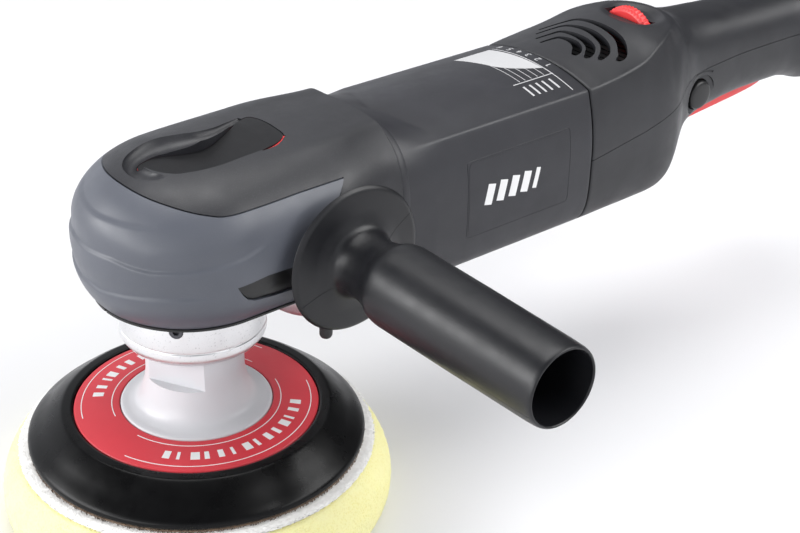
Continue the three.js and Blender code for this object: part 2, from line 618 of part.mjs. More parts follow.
// Stator: ring with an upper and a lower pole, and a saddle coil round each pole.
function ringSector(r0, r1, from, to, steps = 12) {
  const outline = [];
  for (let i = 0; i <= steps; i += 1) {
    const turn = mix(from, to, i / steps) * DEG;
    outline.push([r1 * Math.cos(turn), AXIS_Z + r1 * Math.sin(turn)]);
  }
  for (let i = steps; i >= 0; i -= 1) {
    const turn = mix(from, to, i / steps) * DEG;
    outline.push([r0 * Math.cos(turn), AXIS_Z + r0 * Math.sin(turn)]);
  }
  return outline;
}

function statorShape() {
  let core = rodX(0, AXIS_Z, STATOR_RADIUS, CORE.front, CORE.rear, 32)
    .subtract(rodX(0, AXIS_Z, STATOR_BORE, 90, 180, 32));
  [90, 270].forEach((middle) => {
    core = core.add(prismX(ringSector(21.2, 25.4, middle - 52, middle + 52, 8), CORE.front, CORE.rear))
      .add(prismX(ringSector(24, 32, middle - 16, middle + 16, 2), CORE.front, CORE.rear));
  });
  return core;
}
part('stator_core', statorShape(), darkSteel);
[['upper', 90], ['lower', 270]].forEach(([side, middle]) => {
  const saddle = ringSector(26.2, STATOR_BORE - 0.7, middle - 50, middle + 50, 8);
  const pole = ringSector(20, 34, middle - 18, middle + 18, 2);
  const coil = prismX(saddle, CORE.front - 2.4, CORE.rear + 6)
    .subtract(prismX(pole, CORE.front - GAP, CORE.rear + GAP));
  part(`field_coil_${side}`, coil, copper);
});

// Brushes bear on the commutator from both sides, each in its own brass tube.
[['right', -1], ['left', 1]].forEach(([side, sign]) => {
  const span = (a, b) => (sign > 0 ? [a, b] : [-b, -a]);
  const [b0, b1] = span(12.3, 25);
  const [h0, h1] = span(15, 31);
  const [x0, x1] = [CORE.rear + 12, CORE.rear + 20];
  part(`brush_${side}`, block(x0, x1, b0, b1, AXIS_Z - 3, AXIS_Z + 3), darkSteel);
  const holder = block(x0 - 2, x1 + 2, h0, h1, AXIS_Z - 5, AXIS_Z + 5)
    .subtract(block(x0 - GAP, x1 + GAP, -60, 60, AXIS_Z - 3 - GAP, AXIS_Z + 3 + GAP));
  part(`brush_holder_${side}`, holder, brass);
});

function bracketShape() {
  const web = rodX(0, AXIS_Z, STATOR_RADIUS + 0.2, 169, 172, 32).add(rodX(0, AXIS_Z, 13, 169, 179, 24));
  const windows = [45, 135, 225, 315].map((middle) => {
    const window = ringSector(16, 30.6, middle - 30, middle + 30, 3);
    return prismX(window, 160, 200);
  });
  return windows.reduce((shape, hole) => shape.subtract(hole), web)
    .subtract(rodX(0, AXIS_Z, 9.5 + GAP, 169.7, 205, 24))
    .subtract(rodX(0, AXIS_Z, 7, 160, 200, 16));
}
part('bearing_bracket', bracketShape(), blackPlastic);

// ---- Rear shells: the split line climbs from the seam, then follows the handle ----
const SHELL_WALL = 2.2;
const SPLIT = [[190, 119], [240, 125.5], [262, 130], [278, 134], [292, 137], [330, 138.5], [420, 138.5]];
const rearOuter = housing(REAR_STATIONS, 0);
const innerStations = REAR_STATIONS.filter(([x]) => x < 400)
  .map(([x, ...section], i) => [i === 0 ? x - 3 : x, ...section]);
const rearInner = housing(innerStations, SHELL_WALL);

function belowSplit(shift) {
  return prismY([[190, 60], ...SPLIT.map(([x, z]) => [x, z + shift]), [420, 60]], -60, 60);
}

// Vent slots on top: four nested curves, each widening to a round end on the right-hand side.
const VENTS = [
  [[213.5, 10.1], [220, 8.6], [223.8, 5], [224, -1.1], [221.8, -7.1], [214.9, -11.4]],
  [[216.2, 16], [224, 13.8], [229, 10], [229.6, -1.2], [227, -10.8], [217.7, -16.9]],
  [[221.2, 21.2], [230, 18.4], [235.6, 13.6], [237.2, 1], [234.2, -12.5], [222.2, -21.9]],
  [[226.6, 24.8], [237, 20.4], [243.7, 13.8], [244.6, -0.4], [242, -15.7], [229.1, -27.2]],
];

function ventSlot(line) {
  const last = line.length - 1;
  const sides = [1, -1].map((side) => line.map(([x, y], i) => {
    const [x0, y0] = line[Math.max(0, i - 1)];
    const [x1, y1] = line[Math.min(last, i + 1)];
    const reach = (side * mix(0.6, 2, i / last)) / Math.hypot(x1 - x0, y1 - y0);
    return [x - (y1 - y0) * reach, y + (x1 - x0) * reach];
  }));
  return prismZ([...sides[0], ...sides[1].reverse()], 148, 190);
}
const dialSlot = block(DIAL.x - DIAL.width / 2 - 0.8, DIAL.x + DIAL.width / 2 + 0.8, -13.5, 13.5, 150, 190);
const glandHole = rodX(0, 130.5, 7.3, 396, 420, 16);
const triggerHalf = TRIGGER.halfWidth + 0.6;
const triggerSlot = block(TRIGGER.front - 0.8, TRIGGER.hingeX + 5, -triggerHalf, triggerHalf, 90, 124);
const buttonHole = rodY(BUTTON.x, BUTTON.z, BUTTON.radius + 0.5, -40, -10, 20);
const SHELL_SCREWS = [[214, 24], [214, -24], [384, 0]];

function upperShellShape() {
  let shell = rearOuter.subtract(rearInner).subtract(belowSplit(GAP / 2));
  VENTS.forEach((line) => {
    shell = shell.subtract(ventSlot(line));
  });
  SHELL_SCREWS.forEach(([x, y]) => {
    const post = rodZ(x, y, 4.6, 141, 175, 10).intersect(rearOuter).subtract(rodZ(x, y, 1.9, 130, 153, 8));
    shell = shell.add(post);
  });
  return shell.subtract(dialSlot).subtract(glandHole).subtract(buttonHole);
}
part('rear_shell_upper', upperShellShape(), blackPlastic);

function lowerShellShape() {
  let shell = rearOuter.subtract(rearInner).intersect(belowSplit(-GAP / 2));
  SHELL_SCREWS.forEach(([x, y]) => {
    shell = shell.add(rodZ(x, y, 4.6, 80, 140.5, 10).intersect(rearOuter));
    shell = shell.subtract(rodZ(x, y, 3.8, 60, 112, 10)).subtract(rodZ(x, y, 1.9, 60, 145, 8));
  });
  return shell.subtract(triggerSlot).subtract(glandHole).subtract(buttonHole);
}
part('rear_shell_lower', lowerShellShape(), blackPlastic);

SHELL_SCREWS.forEach(([x, y], i) => {
  const screw = rodZ(x, y, 1.6, 110.5, 152, 8).add(rodZ(x, y, 3.4, 109.2, 111.6, 10));
  part(`shell_screw_${i + 1}`, screw, darkSteel);
});

function glandShape() {
  return rodX(0, 130.5, 9, HANDLE_END + GAP, 410, 20).add(rodX(0, 130.5, 7, 396, 407, 16))
    .subtract(rodX(0, 130.5, 4, 380, 420, 12));
}
part('cord_gland', glandShape(), blackRubber);

const dialHalf = DIAL.width / 2;
part('speed_dial', rodX(0, DIAL.axisZ, DIAL.radius, DIAL.x - dialHalf, DIAL.x + dialHalf, 28), redPlastic);
part('speed_control_board', block(224, 258, -22, 22, 146, 148), boardGreen);
part('switch_block', block(310, 352, -9, 9, 125.5, 148), blackPlastic);

// Trigger paddle, pivoted at its rear end and hollow from above.
function triggerShape() {
  const outline = [
    [TRIGGER.front, 117], [TRIGGER.front + 1, 106], [294, 102.5], [302, 101.2], [325, 102.8], [350, 105],
    [TRIGGER.hingeX - 2, 107.6], [TRIGGER.hingeX + 2, 110.5], [TRIGGER.hingeX + 3, 118],
    [TRIGGER.hingeX - 2, 120], [306, 119.4],
  ];
  return prismY(outline, -TRIGGER.halfWidth, TRIGGER.halfWidth).subtract(block(302, 362, -5.4, 5.4, 108, 125));
}
part('trigger', triggerShape(), redPlastic);

part('lock_button', rodY(BUTTON.x, BUTTON.z, BUTTON.radius, -BUTTON.face, -13, 24), blackPlastic);

// ---- Spindle lock: tongue, pin and spring ----
function tongueShape() {
  const side = prismY([
    [-22, 160.4], [-22, 162.2], [0, 162.4], [16, 164], [28, 167], [LOCK.hingeX, 168], [42, 168], [42, 163.6],
    [LOCK.hingeX, 163.4], [20, 160.4],
  ], -30, 30);
  return side.intersect(prismZ(TONGUE_PLAN, 150, 180)).intersect(headSolid(0, 120));
}
part('lock_tongue', tongueShape(), blackPlastic);

function lockPinShape() {
  const stem = rodZ(LOCK.x, 0, LOCK.pinRadius, LOCK.pinBottom, LOCK.pinTop, 12);
  return stem.add(rodZ(LOCK.x, 0, 4.4, LOCK.pinTop, LOCK.pinTop + 2, 16));
}
part('lock_pin', lockPinShape(), redPlastic);

// Coil spring round the lock pin: a round section swept along a helix.
function lockSpringShape() {
  const turns = 3;
  const [low, high] = [151.2, 157.2];
  class Helix extends THREE.Curve {
    getPoint(t) {
      const turn = t * turns * 2 * Math.PI;
      return new THREE.Vector3(LOCK.x + 3.3 * Math.cos(turn), 3.3 * Math.sin(turn), mix(low, high, t));
    }
  }
  const section = new THREE.Shape();
  for (let i = 0; i < 5; i += 1) {
    const turn = (i / 5) * 2 * Math.PI;
    section[i === 0 ? 'moveTo' : 'lineTo'](0.45 * Math.cos(turn), 0.45 * Math.sin(turn));
  }
  const sweep = { extrudePath: new Helix(), steps: turns * 12, bevelEnabled: false };
  return solid(new THREE.ExtrudeGeometry(section, sweep));
}
part('lock_spring', lockSpringShape(), steel);

// ---- Side handle ----
function sideHandleShape() {
  const { x, flangeRadius, flangeFace, neckRadius, barrelRadius, endRadius, bore, end } = SIDE;
  const seat = SIDE.bossFace + GAP;
  const outline = [
    [0, seat], [flangeRadius - 1, seat], [flangeRadius, flangeFace - 1.5], [20, flangeFace + 1.2],
    [neckRadius, flangeFace + 7], [neckRadius + 0.8, flangeFace + 16], [barrelRadius, flangeFace + 26],
    [endRadius, end - 3], [endRadius - 1.4, end], [bore, end], [bore - 0.4, flangeFace + 32],
    [0, flangeFace + 32],
  ];
  const points = outline.map(([r, along]) => new THREE.Vector2(r, along));
  const lathe = new THREE.LatheGeometry(points, 32).rotateX(Math.PI).translate(x, 0, AXIS_Z);
  const shape = solid(lathe);
  return shape.subtract(rodY(x, AXIS_Z, 4.9 + GAP, -70, -50, 16));
}
part('side_handle', sideHandleShape(), blackPlastic);
part('handle_stud', rodY(SIDE.x, AXIS_Z, 4.9, -69.6, -40, 16), steel);

export default polisher;
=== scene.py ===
"""Looks of the dual action polisher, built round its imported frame.

Lengths are millimetres; light places and sizes are metres.
"""

import json
import math

import bmesh
import bpy
import numpy as np
from mathutils import Matrix, Vector


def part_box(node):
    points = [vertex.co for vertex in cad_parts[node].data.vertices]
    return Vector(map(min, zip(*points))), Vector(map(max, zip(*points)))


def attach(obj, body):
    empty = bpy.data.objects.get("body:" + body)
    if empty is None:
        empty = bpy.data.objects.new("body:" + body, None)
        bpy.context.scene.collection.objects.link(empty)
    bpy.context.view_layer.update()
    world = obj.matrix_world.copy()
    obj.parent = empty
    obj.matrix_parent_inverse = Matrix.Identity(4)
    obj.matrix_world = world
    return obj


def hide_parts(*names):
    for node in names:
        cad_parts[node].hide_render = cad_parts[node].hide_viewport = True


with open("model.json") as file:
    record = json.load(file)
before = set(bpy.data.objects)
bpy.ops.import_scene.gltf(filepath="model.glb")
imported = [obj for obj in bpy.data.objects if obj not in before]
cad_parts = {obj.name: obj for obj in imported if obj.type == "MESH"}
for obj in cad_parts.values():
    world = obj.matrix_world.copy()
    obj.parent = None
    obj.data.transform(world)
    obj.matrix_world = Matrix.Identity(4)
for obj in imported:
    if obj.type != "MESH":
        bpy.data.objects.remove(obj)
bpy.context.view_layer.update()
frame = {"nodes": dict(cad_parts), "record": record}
MM = 0.001


# ---------------------------------------------------------------- places taken from the frame
def place(node):
    """Lowest and highest corner of a CAD node."""
    low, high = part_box(node)
    return np.array(low) / MM, np.array(high) / MM


def middle(node):
    low, high = place(node)
    return (low + high) / 2


PAD_AXIS = middle("foam_pad")[:2]
FOAM_TOP = place("foam_pad")[1][2]
GRIP_AXIS = middle("side_handle")
GRIP_END, GRIP_BACK = (-corner[1] for corner in place("side_handle"))
SEAM_X = place("motor_housing")[1][0]
HANDLE_END = place("rear_shell_upper")[1][0]
DIAL_AXIS = middle("speed_dial")
DIAL_LOW, DIAL_HIGH = place("speed_dial")
DIAL_RADIUS, DIAL_WIDTH = (DIAL_HIGH[2] - DIAL_LOW[2]) / 2, DIAL_HIGH[0] - DIAL_LOW[0]
BUTTON_AXIS = middle("lock_button")
HEAD_BOTTOM = place("head_bumper")[0][2]
COLLAR_LOW, COLLAR_HIGH = place("spindle_collar")
GAP = 0.3  # between pieces that meet


# ---------------------------------------------------------------- small maths
def mix(a, b, t):
    return a + (b - a) * t


def ease(t):
    s = np.clip(t, 0, 1)
    return s * s * (3 - 2 * s)


def along(table, x, column):
    """Smooth reading of one column of a table whose first column is x."""
    xs = np.array([row[0] for row in table], float)
    ys = np.array([row[column] for row in table], float)
    slopes = np.gradient(ys, xs)
    steps = np.diff(ys) / np.diff(xs)
    for i in range(1, len(xs) - 1):
        if steps[i - 1] * steps[i] <= 0:
            slopes[i] = 0
        else:
            slopes[i] = np.sign(slopes[i]) * min(abs(slopes[i]), 2.5 * min(abs(steps[i - 1]), abs(steps[i])))
    x = np.clip(x, xs[0], xs[-1])
    i = np.clip(np.searchsorted(xs, x, side="right") - 1, 0, len(xs) - 2)
    h = xs[i + 1] - xs[i]
    t = (x - xs[i]) / h
    a = ys[i] + slopes[i] * h * t + (3 * (ys[i + 1] - ys[i]) / h - 2 * slopes[i] - slopes[i + 1]) * h * t * t
    return a + (2 * (ys[i] - ys[i + 1]) / h + slopes[i] + slopes[i + 1]) * h * t**3


def bezier(a, b, c, count):
    """Points of a quadratic curve from a to c, pulled towards b."""
    a, b, c = (np.array(p, float) for p in (a, b, c))
    t = np.linspace(0, 1, count)[:, None]
    return (1 - t) ** 2 * a + 2 * t * (1 - t) * b + t * t * c


def distances(line):
    """Distance along a polyline at each of its points."""
    return np.concatenate([[0], np.cumsum(np.linalg.norm(np.diff(line, axis=0), axis=1))])


def resample(line, length, wanted):
    """Points of a polyline at the wanted distances along it."""
    return np.stack([np.interp(wanted, length, line[:, k]) for k in range(line.shape[1])], 1)


def left_normals(line):
    tangent = np.gradient(line, axis=0)
    return np.stack([-tangent[:, 1], tangent[:, 0]], 1) / np.linalg.norm(tangent, axis=1)[:, None]


def both_sides(half):
    """Whole ring of a half ring of points, mirrored in y."""
    return half + [(x, -y, z) for x, y, z in reversed(half)]


def spline(points, count, closed=False):
    """Catmull-Rom curve through points, evenly spread."""
    p = np.array(points, float)
    p = np.vstack([p[-1], p, p[0], p[1]]) if closed else np.vstack([2 * p[0] - p[1], p, 2 * p[-1] - p[-2]])
    fine = []
    for i in range(1, len(p) - 2):
        t = np.linspace(0, 1, 24, endpoint=False)[:, None]
        a, b, c, d = p[i - 1 : i + 3]
        square, cube = 2 * a - 5 * b + 4 * c - d, 3 * b - a - 3 * c + d
        fine.append(0.5 * (2 * b + (c - a) * t + square * t**2 + cube * t**3))
    fine = np.vstack(fine + [p[-2][None, :]])
    length = distances(fine)
    return resample(fine, length, np.linspace(0, length[-1], count, endpoint=not closed))


def rounded(corners, steps=5):
    """Polyline through corners, each (a, b) or (a, b, radius) to be rounded off."""
    points = []
    for i, corner in enumerate(corners):
        here = np.array(corner[:2], float)
        if len(corner) < 3 or i in (0, len(corners) - 1):
            points.append(here)
            continue
        before, after = np.array(corners[i - 1][:2], float), np.array(corners[i + 1][:2], float)
        reach = corner[2]
        start = here + (before - here) * min(0.49, reach / np.linalg.norm(before - here))
        end = here + (after - here) * min(0.49, reach / np.linalg.norm(after - here))
        points.extend(bezier(start, here, end, steps))
    return np.array(points)


# ---------------------------------------------------------------- mesh building
def make(name, points, faces, outward=True):
    mesh = bpy.data.meshes.new(name)
    mesh.from_pydata((np.asarray(points, float) * MM).tolist(), [], faces)
    mesh.validate()
    if outward:
        work = bmesh.new()
        work.from_mesh(mesh)
        bmesh.ops.remove_doubles(work, verts=work.verts, dist=2e-6)
        bmesh.ops.recalc_face_normals(work, faces=work.faces)
        work.to_mesh(mesh)
        work.free()
    obj = bpy.data.objects.new(name, mesh)
    bpy.context.scene.collection.objects.link(obj)
    return obj


def quads(rows, columns, wrap_rows=False, wrap_columns=True, offset=0):
    faces = []
    for i in range(rows if wrap_rows else rows - 1):
        for j in range(columns if wrap_columns else columns - 1):
            a, b = offset + i * columns + j, offset + i * columns + (j + 1) % columns
            k = (i + 1) % rows
            faces.append((a, b, offset + k * columns + (j + 1) % columns, offset + k * columns + j))
    return faces


def strip(rings):
    """Points and faces of a closed bar through rings of four points."""
    count = len(rings)
    faces = quads(count, 4) + [(0, 1, 2, 3), tuple((count - 1) * 4 + j for j in range(4))]
    return np.array(rings).reshape(-1, 3), faces


def loft(name, rings):
    """Closed solid through equal rings of points, capped at both ends."""
    rings = np.asarray(rings, float)
    rows, columns = rings.shape[:2]
    faces = quads(rows, columns)
    faces.append(tuple(range(columns)))
    faces.append(tuple((rows - 1) * columns + j for j in range(columns)))
    return make(name, rings.reshape(-1, 3), faces)


AXES = {"z": (0, 1, 2), "y": (0, 2, 1), "x": (1, 2, 0)}


def lathe(name, profile, centre, axis="z", segments=96, warp=None):
    """Turned solid: profile of (radius, height) points, either closed or ending on the axis at both ends."""
    profile = np.asarray(profile, float)
    u, v, w = AXES[axis]
    turn = np.linspace(0, 2 * math.pi, segments, endpoint=False)
    points = np.zeros((len(profile), segments, 3))
    points[:, :, u] = centre[0] + profile[:, 0:1] * np.cos(turn)
    points[:, :, v] = centre[1] + profile[:, 0:1] * np.sin(turn)
    points[:, :, w] = profile[:, 1:2]
    if warp is not None:
        points = warp(points, turn)
    closed = profile[0, 0] > 1e-6 or profile[-1, 0] > 1e-6
    return make(name, points.reshape(-1, 3), quads(len(profile), segments, wrap_rows=closed))


def rod(name, path, radius, sides=8, closed=False):
    """Closed round rod along a path; its radius may vary."""
    path = np.asarray(path, float)
    radii = np.broadcast_to(radius, (len(path),))
    if closed:
        tangents = np.roll(path, -1, 0) - np.roll(path, 1, 0)
    else:
        tangents = np.gradient(path, axis=0)
    tangents /= np.linalg.norm(tangents, axis=1)[:, None]
    up = np.array([0, 0, 1.0]) if abs(tangents[0][2]) < 0.9 else np.array([1.0, 0, 0])
    rings = []
    for i, t in enumerate(tangents):
        side = np.cross(up, t)
        side /= np.linalg.norm(side)
        up = np.cross(t, side)
        turn = np.linspace(0, 2 * math.pi, sides, endpoint=False)[:, None]
        rings.append(path[i] + radii[i] * np.cos(turn) * side + radii[i] * np.sin(turn) * up)
    faces = quads(len(path), sides, wrap_rows=closed)
    if not closed:
        faces.append(tuple(range(sides)))
        faces.append(tuple((len(path) - 1) * sides + j for j in range(sides)))
    return make(name, np.vstack(rings), faces)


def plug(name, radius, low, high, centre, axis, segments):
    """Plain cylinder along an axis, used to bore a hole."""
    return lathe(name, [(0, low), (radius, low), (radius, high), (0, high)], centre, axis, segments)


def prism(name, outline, low, high, axis="z"):
    """Closed prism of a 2-D outline between two coordinates of one axis."""
    outline = np.asarray(outline, float)
    u, v, w = AXES[axis]
    count = len(outline)
    points = np.zeros((2 * count, 3))
    for k, level in enumerate((low, high)):
        points[k * count : (k + 1) * count, u] = outline[:, 0]
        points[k * count : (k + 1) * count, v] = outline[:, 1]
        points[k * count : (k + 1) * count, w] = level
    faces = [(j, (j + 1) % count, count + (j + 1) % count, count + j) for j in range(count)]
    faces += [tuple(range(count)), tuple(range(count, 2 * count))]
    return make(name, points, faces)


def box(name, low, high):
    (x0, y0, z0), (x1, y1, z1) = low, high
    return prism(name, [(x0, y0), (x1, y0), (x1, y1), (x0, y1)], z0, z1)


def oval(centre, half_a, half_b, count=40, power=2.0):
    turn = np.linspace(0, 2 * math.pi, count, endpoint=False)
    c, s = np.cos(turn), np.sin(turn)
    a = half_a * np.sign(c) * np.abs(c) ** (2 / power)
    b = half_b * np.sign(s) * np.abs(s) ** (2 / power)
    return np.stack([centre[0] + a, centre[1] + b], 1)


def combine(target, other, operation="DIFFERENCE", keep=False):
    """Boolean of two closed meshes, applied at once."""
    modifier = target.modifiers.new("boolean", "BOOLEAN")
    modifier.operation = operation
    modifier.solver = "MANIFOLD"
    modifier.object = other
    bpy.context.view_layer.update()
    graph = bpy.context.evaluated_depsgraph_get()
    result = bpy.data.meshes.new_from_object(target.evaluated_get(graph))
    target.modifiers.clear()
    old = target.data
    target.data = result
    bpy.data.meshes.remove(old)
    if not keep:
        bpy.data.objects.remove(other)
    return target


def trim_to(target, zone):
    return combine(target, zone, "INTERSECT")


def copy(obj, name):
    twin = bpy.data.objects.new(name, obj.data.copy())
    bpy.context.scene.collection.objects.link(twin)
    return twin


def joined(name, parts):
    """One object of several (points, faces) shells."""
    points, faces, start = [], [], 0
    for part_points, part_faces in parts:
        points.append(np.asarray(part_points, float))
        faces.extend(tuple(start + i for i in face) for face in part_faces)
        start += len(part_points)
    return make(name, np.vstack(points), faces)


def smooth(obj, angle=32):
    for polygon in obj.data.polygons:
        polygon.use_smooth = True
    with bpy.context.temp_override(object=obj, active_object=obj, selected_objects=[obj],
                                   selected_editable_objects=[obj]):
        bpy.ops.object.shade_smooth_by_angle(angle=math.radians(angle))


def piece(obj, surface, body="housing", replaces=(), angle=32):
    """Gives a new piece its finish and seats it on its CAD body."""
    obj.data.materials.clear()
    obj.data.materials.append(surface)
    smooth(obj, angle)
    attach(obj, body)
    if replaces:
        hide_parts(*replaces)
    return obj


# ---------------------------------------------------------------- camera, light and floor
VIEW_AZIMUTH, VIEW_ELEVATION, VIEW_ROLL = -40.2, 29.2, -1.44
VIEW_POINT = (-0.33231, -0.53299, 0.46276)
VIEW_LENS = 74.5


def make_camera():
    azimuth, elevation, roll = (math.radians(a) for a in (VIEW_AZIMUTH, VIEW_ELEVATION, VIEW_ROLL))
    back = Vector((
        math.sin(azimuth) * math.cos(elevation), -math.cos(azimuth) * math.cos(elevation), math.sin(elevation),
    ))
    level = Vector((math.cos(azimuth), math.sin(azimuth), 0))
    down = (-back).cross(level)
    right = math.cos(roll) * level + math.sin(roll) * down
    up = math.sin(roll) * level - math.cos(roll) * down
    camera = bpy.data.objects.new("camera", bpy.data.cameras.new("camera"))
    camera.data.lens = VIEW_LENS
    camera.data.clip_start = 0.02
    camera.data.clip_end = 20
    camera.matrix_world = Matrix((
        (right[0], up[0], back[0], VIEW_POINT[0]),
        (right[1], up[1], back[1], VIEW_POINT[1]),
        (right[2], up[2], back[2], VIEW_POINT[2]),
        (0, 0, 0, 1),
    ))
    bpy.context.scene.collection.objects.link(camera)
    bpy.context.scene.camera = camera


# Name, place, target and size in metres, and power in watts
LIGHTS = (
    ("overhead_softbox", (0.25, 0.35, 1.6), (0.1, 0.0, 0.1), (1.2, 1.0), 18),
    ("right_softbox", (1.05, -1.0, 1.25), (0.12, -0.05, 0.12), (1.4, 1.1), 26),
    ("left_softbox", (-1.55, 0.75, 0.7), (0.05, -0.05, 0.1), (1.5, 0.7), 27),
    ("low_softbox", (-1.4, -0.35, 0.35), (0.0, 0.0, 0.13), (0.8, 0.4), 5),
)
# The sky's strength along two directions: axis, from low, from high, to low, to high
SKY_FALLOFF = (("Z", 0.44, 0.68, 0.95, 0.14), ("X", 0.50, 0.76, 1.0, 0.12))
FLOOR_REACH, FLOOR_Z = 4000, -0.4


def area_light(name, location, target, size, power):
    lamp = bpy.data.lights.new(name, "AREA")
    lamp.shape = "RECTANGLE"
    lamp.size, lamp.size_y = size
    lamp.energy = power
    obj = bpy.data.objects.new(name, lamp)
    obj.location = location
    obj.rotation_euler = (Vector(target) - Vector(location)).to_track_quat("-Z", "Y").to_euler()
    bpy.context.scene.collection.objects.link(obj)


def map_range(tree, value, limits):
    """Result of a Map Range node; limits are from low, from high, to low and to high."""
    node = tree.nodes.new("ShaderNodeMapRange")
    for name, number in zip(("From Min", "From Max", "To Min", "To Max"), limits):
        node.inputs[name].default_value = number
    tree.links.new(value, node.inputs["Value"])
    return node.outputs["Result"]


def make_studio():
    scene = bpy.context.scene
    scene.view_settings.view_transform = "Standard"
    world = bpy.data.worlds.new("studio")
    scene.world = world
    world.use_nodes = True
    tree = world.node_tree
    sky = tree.nodes["Background"]
    direction = tree.nodes.new("ShaderNodeTexCoord")
    split = tree.nodes.new("ShaderNodeSeparateXYZ")
    tree.links.new(direction.outputs["Generated"], split.inputs["Vector"])
    falloff = tree.nodes.new("ShaderNodeMath")
    falloff.operation = "MULTIPLY"
    for slot, (axis, *limits) in enumerate(SKY_FALLOFF):
        tree.links.new(map_range(tree, split.outputs[axis], limits), falloff.inputs[slot])
    tree.links.new(falloff.outputs[0], sky.inputs["Strength"])
    sky.inputs["Color"].default_value = (0.93, 0.95, 1.0, 1)
    for light in LIGHTS:
        area_light(*light)
    corners = [(a * FLOOR_REACH, b * FLOOR_REACH, FLOOR_Z) for a, b in ((-1, -1), (1, -1), (1, 1), (-1, 1))]
    floor = make("floor", corners, [(0, 1, 2, 3)], outward=False)
    paper = Surface("studio_paper", (0.74, 0.74, 0.755), 0.7)
    paper.grain(1.2, 0.02)
    floor.data.materials.append(paper.finish())


# ---------------------------------------------------------------- materials
class Surface:
    """A procedural Principled material in object coordinates; sizes are millimetres."""

    def __init__(self, name, color, roughness, metallic=0.0, specular=0.5):
        self.material = bpy.data.materials.new(name)
        self.material.use_nodes = True
        self.tree = self.material.node_tree
        self.shader = self.tree.nodes["Principled BSDF"]
        self.shader.inputs["Metallic"].default_value = metallic
        self.shader.inputs["Specular IOR Level"].default_value = specular
        self.where = self.tree.nodes.new("ShaderNodeTexCoord").outputs["Object"]
        self.color = self.tree.nodes.new("ShaderNodeRGB").outputs[0]
        self.color.default_value = (*color, 1)
        self.roughness = self.value(roughness)
        self.normal = None

    def value(self, number):
        node = self.tree.nodes.new("ShaderNodeValue")
        node.outputs[0].default_value = number
        return node.outputs[0]

    def link(self, a, b):
        self.tree.links.new(a, b)

    def stretched(self, factors):
        node = self.tree.nodes.new("ShaderNodeMapping")
        node.inputs["Scale"].default_value = factors
        self.link(self.where, node.inputs["Vector"])
        return node.outputs["Vector"]

    def noise(self, size, detail=3.0, factors=None):
        node = self.tree.nodes.new("ShaderNodeTexNoise")
        node.inputs["Scale"].default_value = 1 / (size * MM)
        node.inputs["Detail"].default_value = detail
        self.link(self.stretched(factors) if factors else self.where, node.inputs["Vector"])
        return node.outputs["Fac"]

    def cells(self, size, feature="F1"):
        node = self.tree.nodes.new("ShaderNodeTexVoronoi")
        node.feature = feature
        node.inputs["Scale"].default_value = 1 / (size * MM)
        self.link(self.where, node.inputs["Vector"])
        return node.outputs["Distance"]

    def ramp(self, factor, low, high, out_low=0.0, out_high=1.0):
        return map_range(self.tree, factor, (low, high, out_low, out_high))

    def tint(self, factor, color):
        """Mixes a second colour in by a factor socket."""
        node = self.tree.nodes.new("ShaderNodeMix")
        node.data_type = "RGBA"
        self.link(factor, node.inputs["Factor"])
        self.link(self.color, node.inputs[6])
        node.inputs[7].default_value = (*color, 1)
        self.color = node.outputs[2]

    def vary_roughness(self, factor, amount):
        node = self.tree.nodes.new("ShaderNodeMath")
        node.operation = "MULTIPLY_ADD"
        self.link(factor, node.inputs[0])
        node.inputs[1].default_value = amount
        self.link(self.roughness, node.inputs[2])
        self.roughness = node.outputs[0]

    def bump(self, height, depth, strength=1.0):
        node = self.tree.nodes.new("ShaderNodeBump")
        node.inputs["Distance"].default_value = depth * MM
        node.inputs["Strength"].default_value = strength
        self.link(height, node.inputs["Height"])
        if self.normal is not None:
            self.link(self.normal, node.inputs["Normal"])
        self.normal = node.outputs["Normal"]

    def grain(self, size, depth, detail=2.0):
        self.bump(self.noise(size, detail), depth)

    def finish(self):
        self.link(self.color, self.shader.inputs["Base Color"])
        self.link(self.roughness, self.shader.inputs["Roughness"])
        if self.normal is not None:
            self.link(self.normal, self.shader.inputs["Normal"])
        return self.material


def plastic(name, color, roughness, grain, depth, lift=1.35, speck=1.9, specular=0.5):
    """Moulded plastic: fine spark-eroded grain, faint handling marks and uneven gloss."""
    surface = Surface(name, color, roughness, specular=specular)
    surface.tint(surface.ramp(surface.noise(28, 4), 0.35, 0.75), tuple(lift * c for c in color))
    surface.tint(surface.ramp(surface.noise(grain * 1.6, 1), 0.55, 0.85, 0, 0.55), tuple(speck * c for c in color))
    surface.vary_roughness(surface.ramp(surface.noise(9, 3), 0.3, 0.7, -0.5, 0.5), 0.10)
    surface.grain(grain * 5, depth * 0.5)
    surface.grain(grain, depth)
    return surface.finish()


def metal(name, color, roughness, turned=None, speck=0.0):
    """Machined or cast metal; turned is the stretch of its tool marks."""
    surface = Surface(name, color, roughness, metallic=1.0)
    surface.vary_roughness(surface.ramp(surface.noise(6, 4), 0.3, 0.7, -0.5, 0.5), 0.16)
    if turned:
        surface.bump(surface.noise(1.2, 2, turned), 0.012)
    if speck:
        surface.tint(surface.ramp(surface.noise(0.9, 2), 0.62, 0.72), tuple(c * (1 - speck) for c in color))
    surface.grain(0.5, 0.012)
    return surface.finish()


def fibre(name, color, shade, size, depth):
    """Looped or bristled cloth."""
    surface = Surface(name, color, 0.95)
    surface.tint(surface.ramp(surface.noise(size * 3, 4), 0.35, 0.7), shade)
    surface.bump(surface.cells(size), depth)
    surface.grain(size * 0.5, depth * 0.5)
    surface.shader.inputs["Sheen Weight"].default_value = 0.3
    return surface.finish()


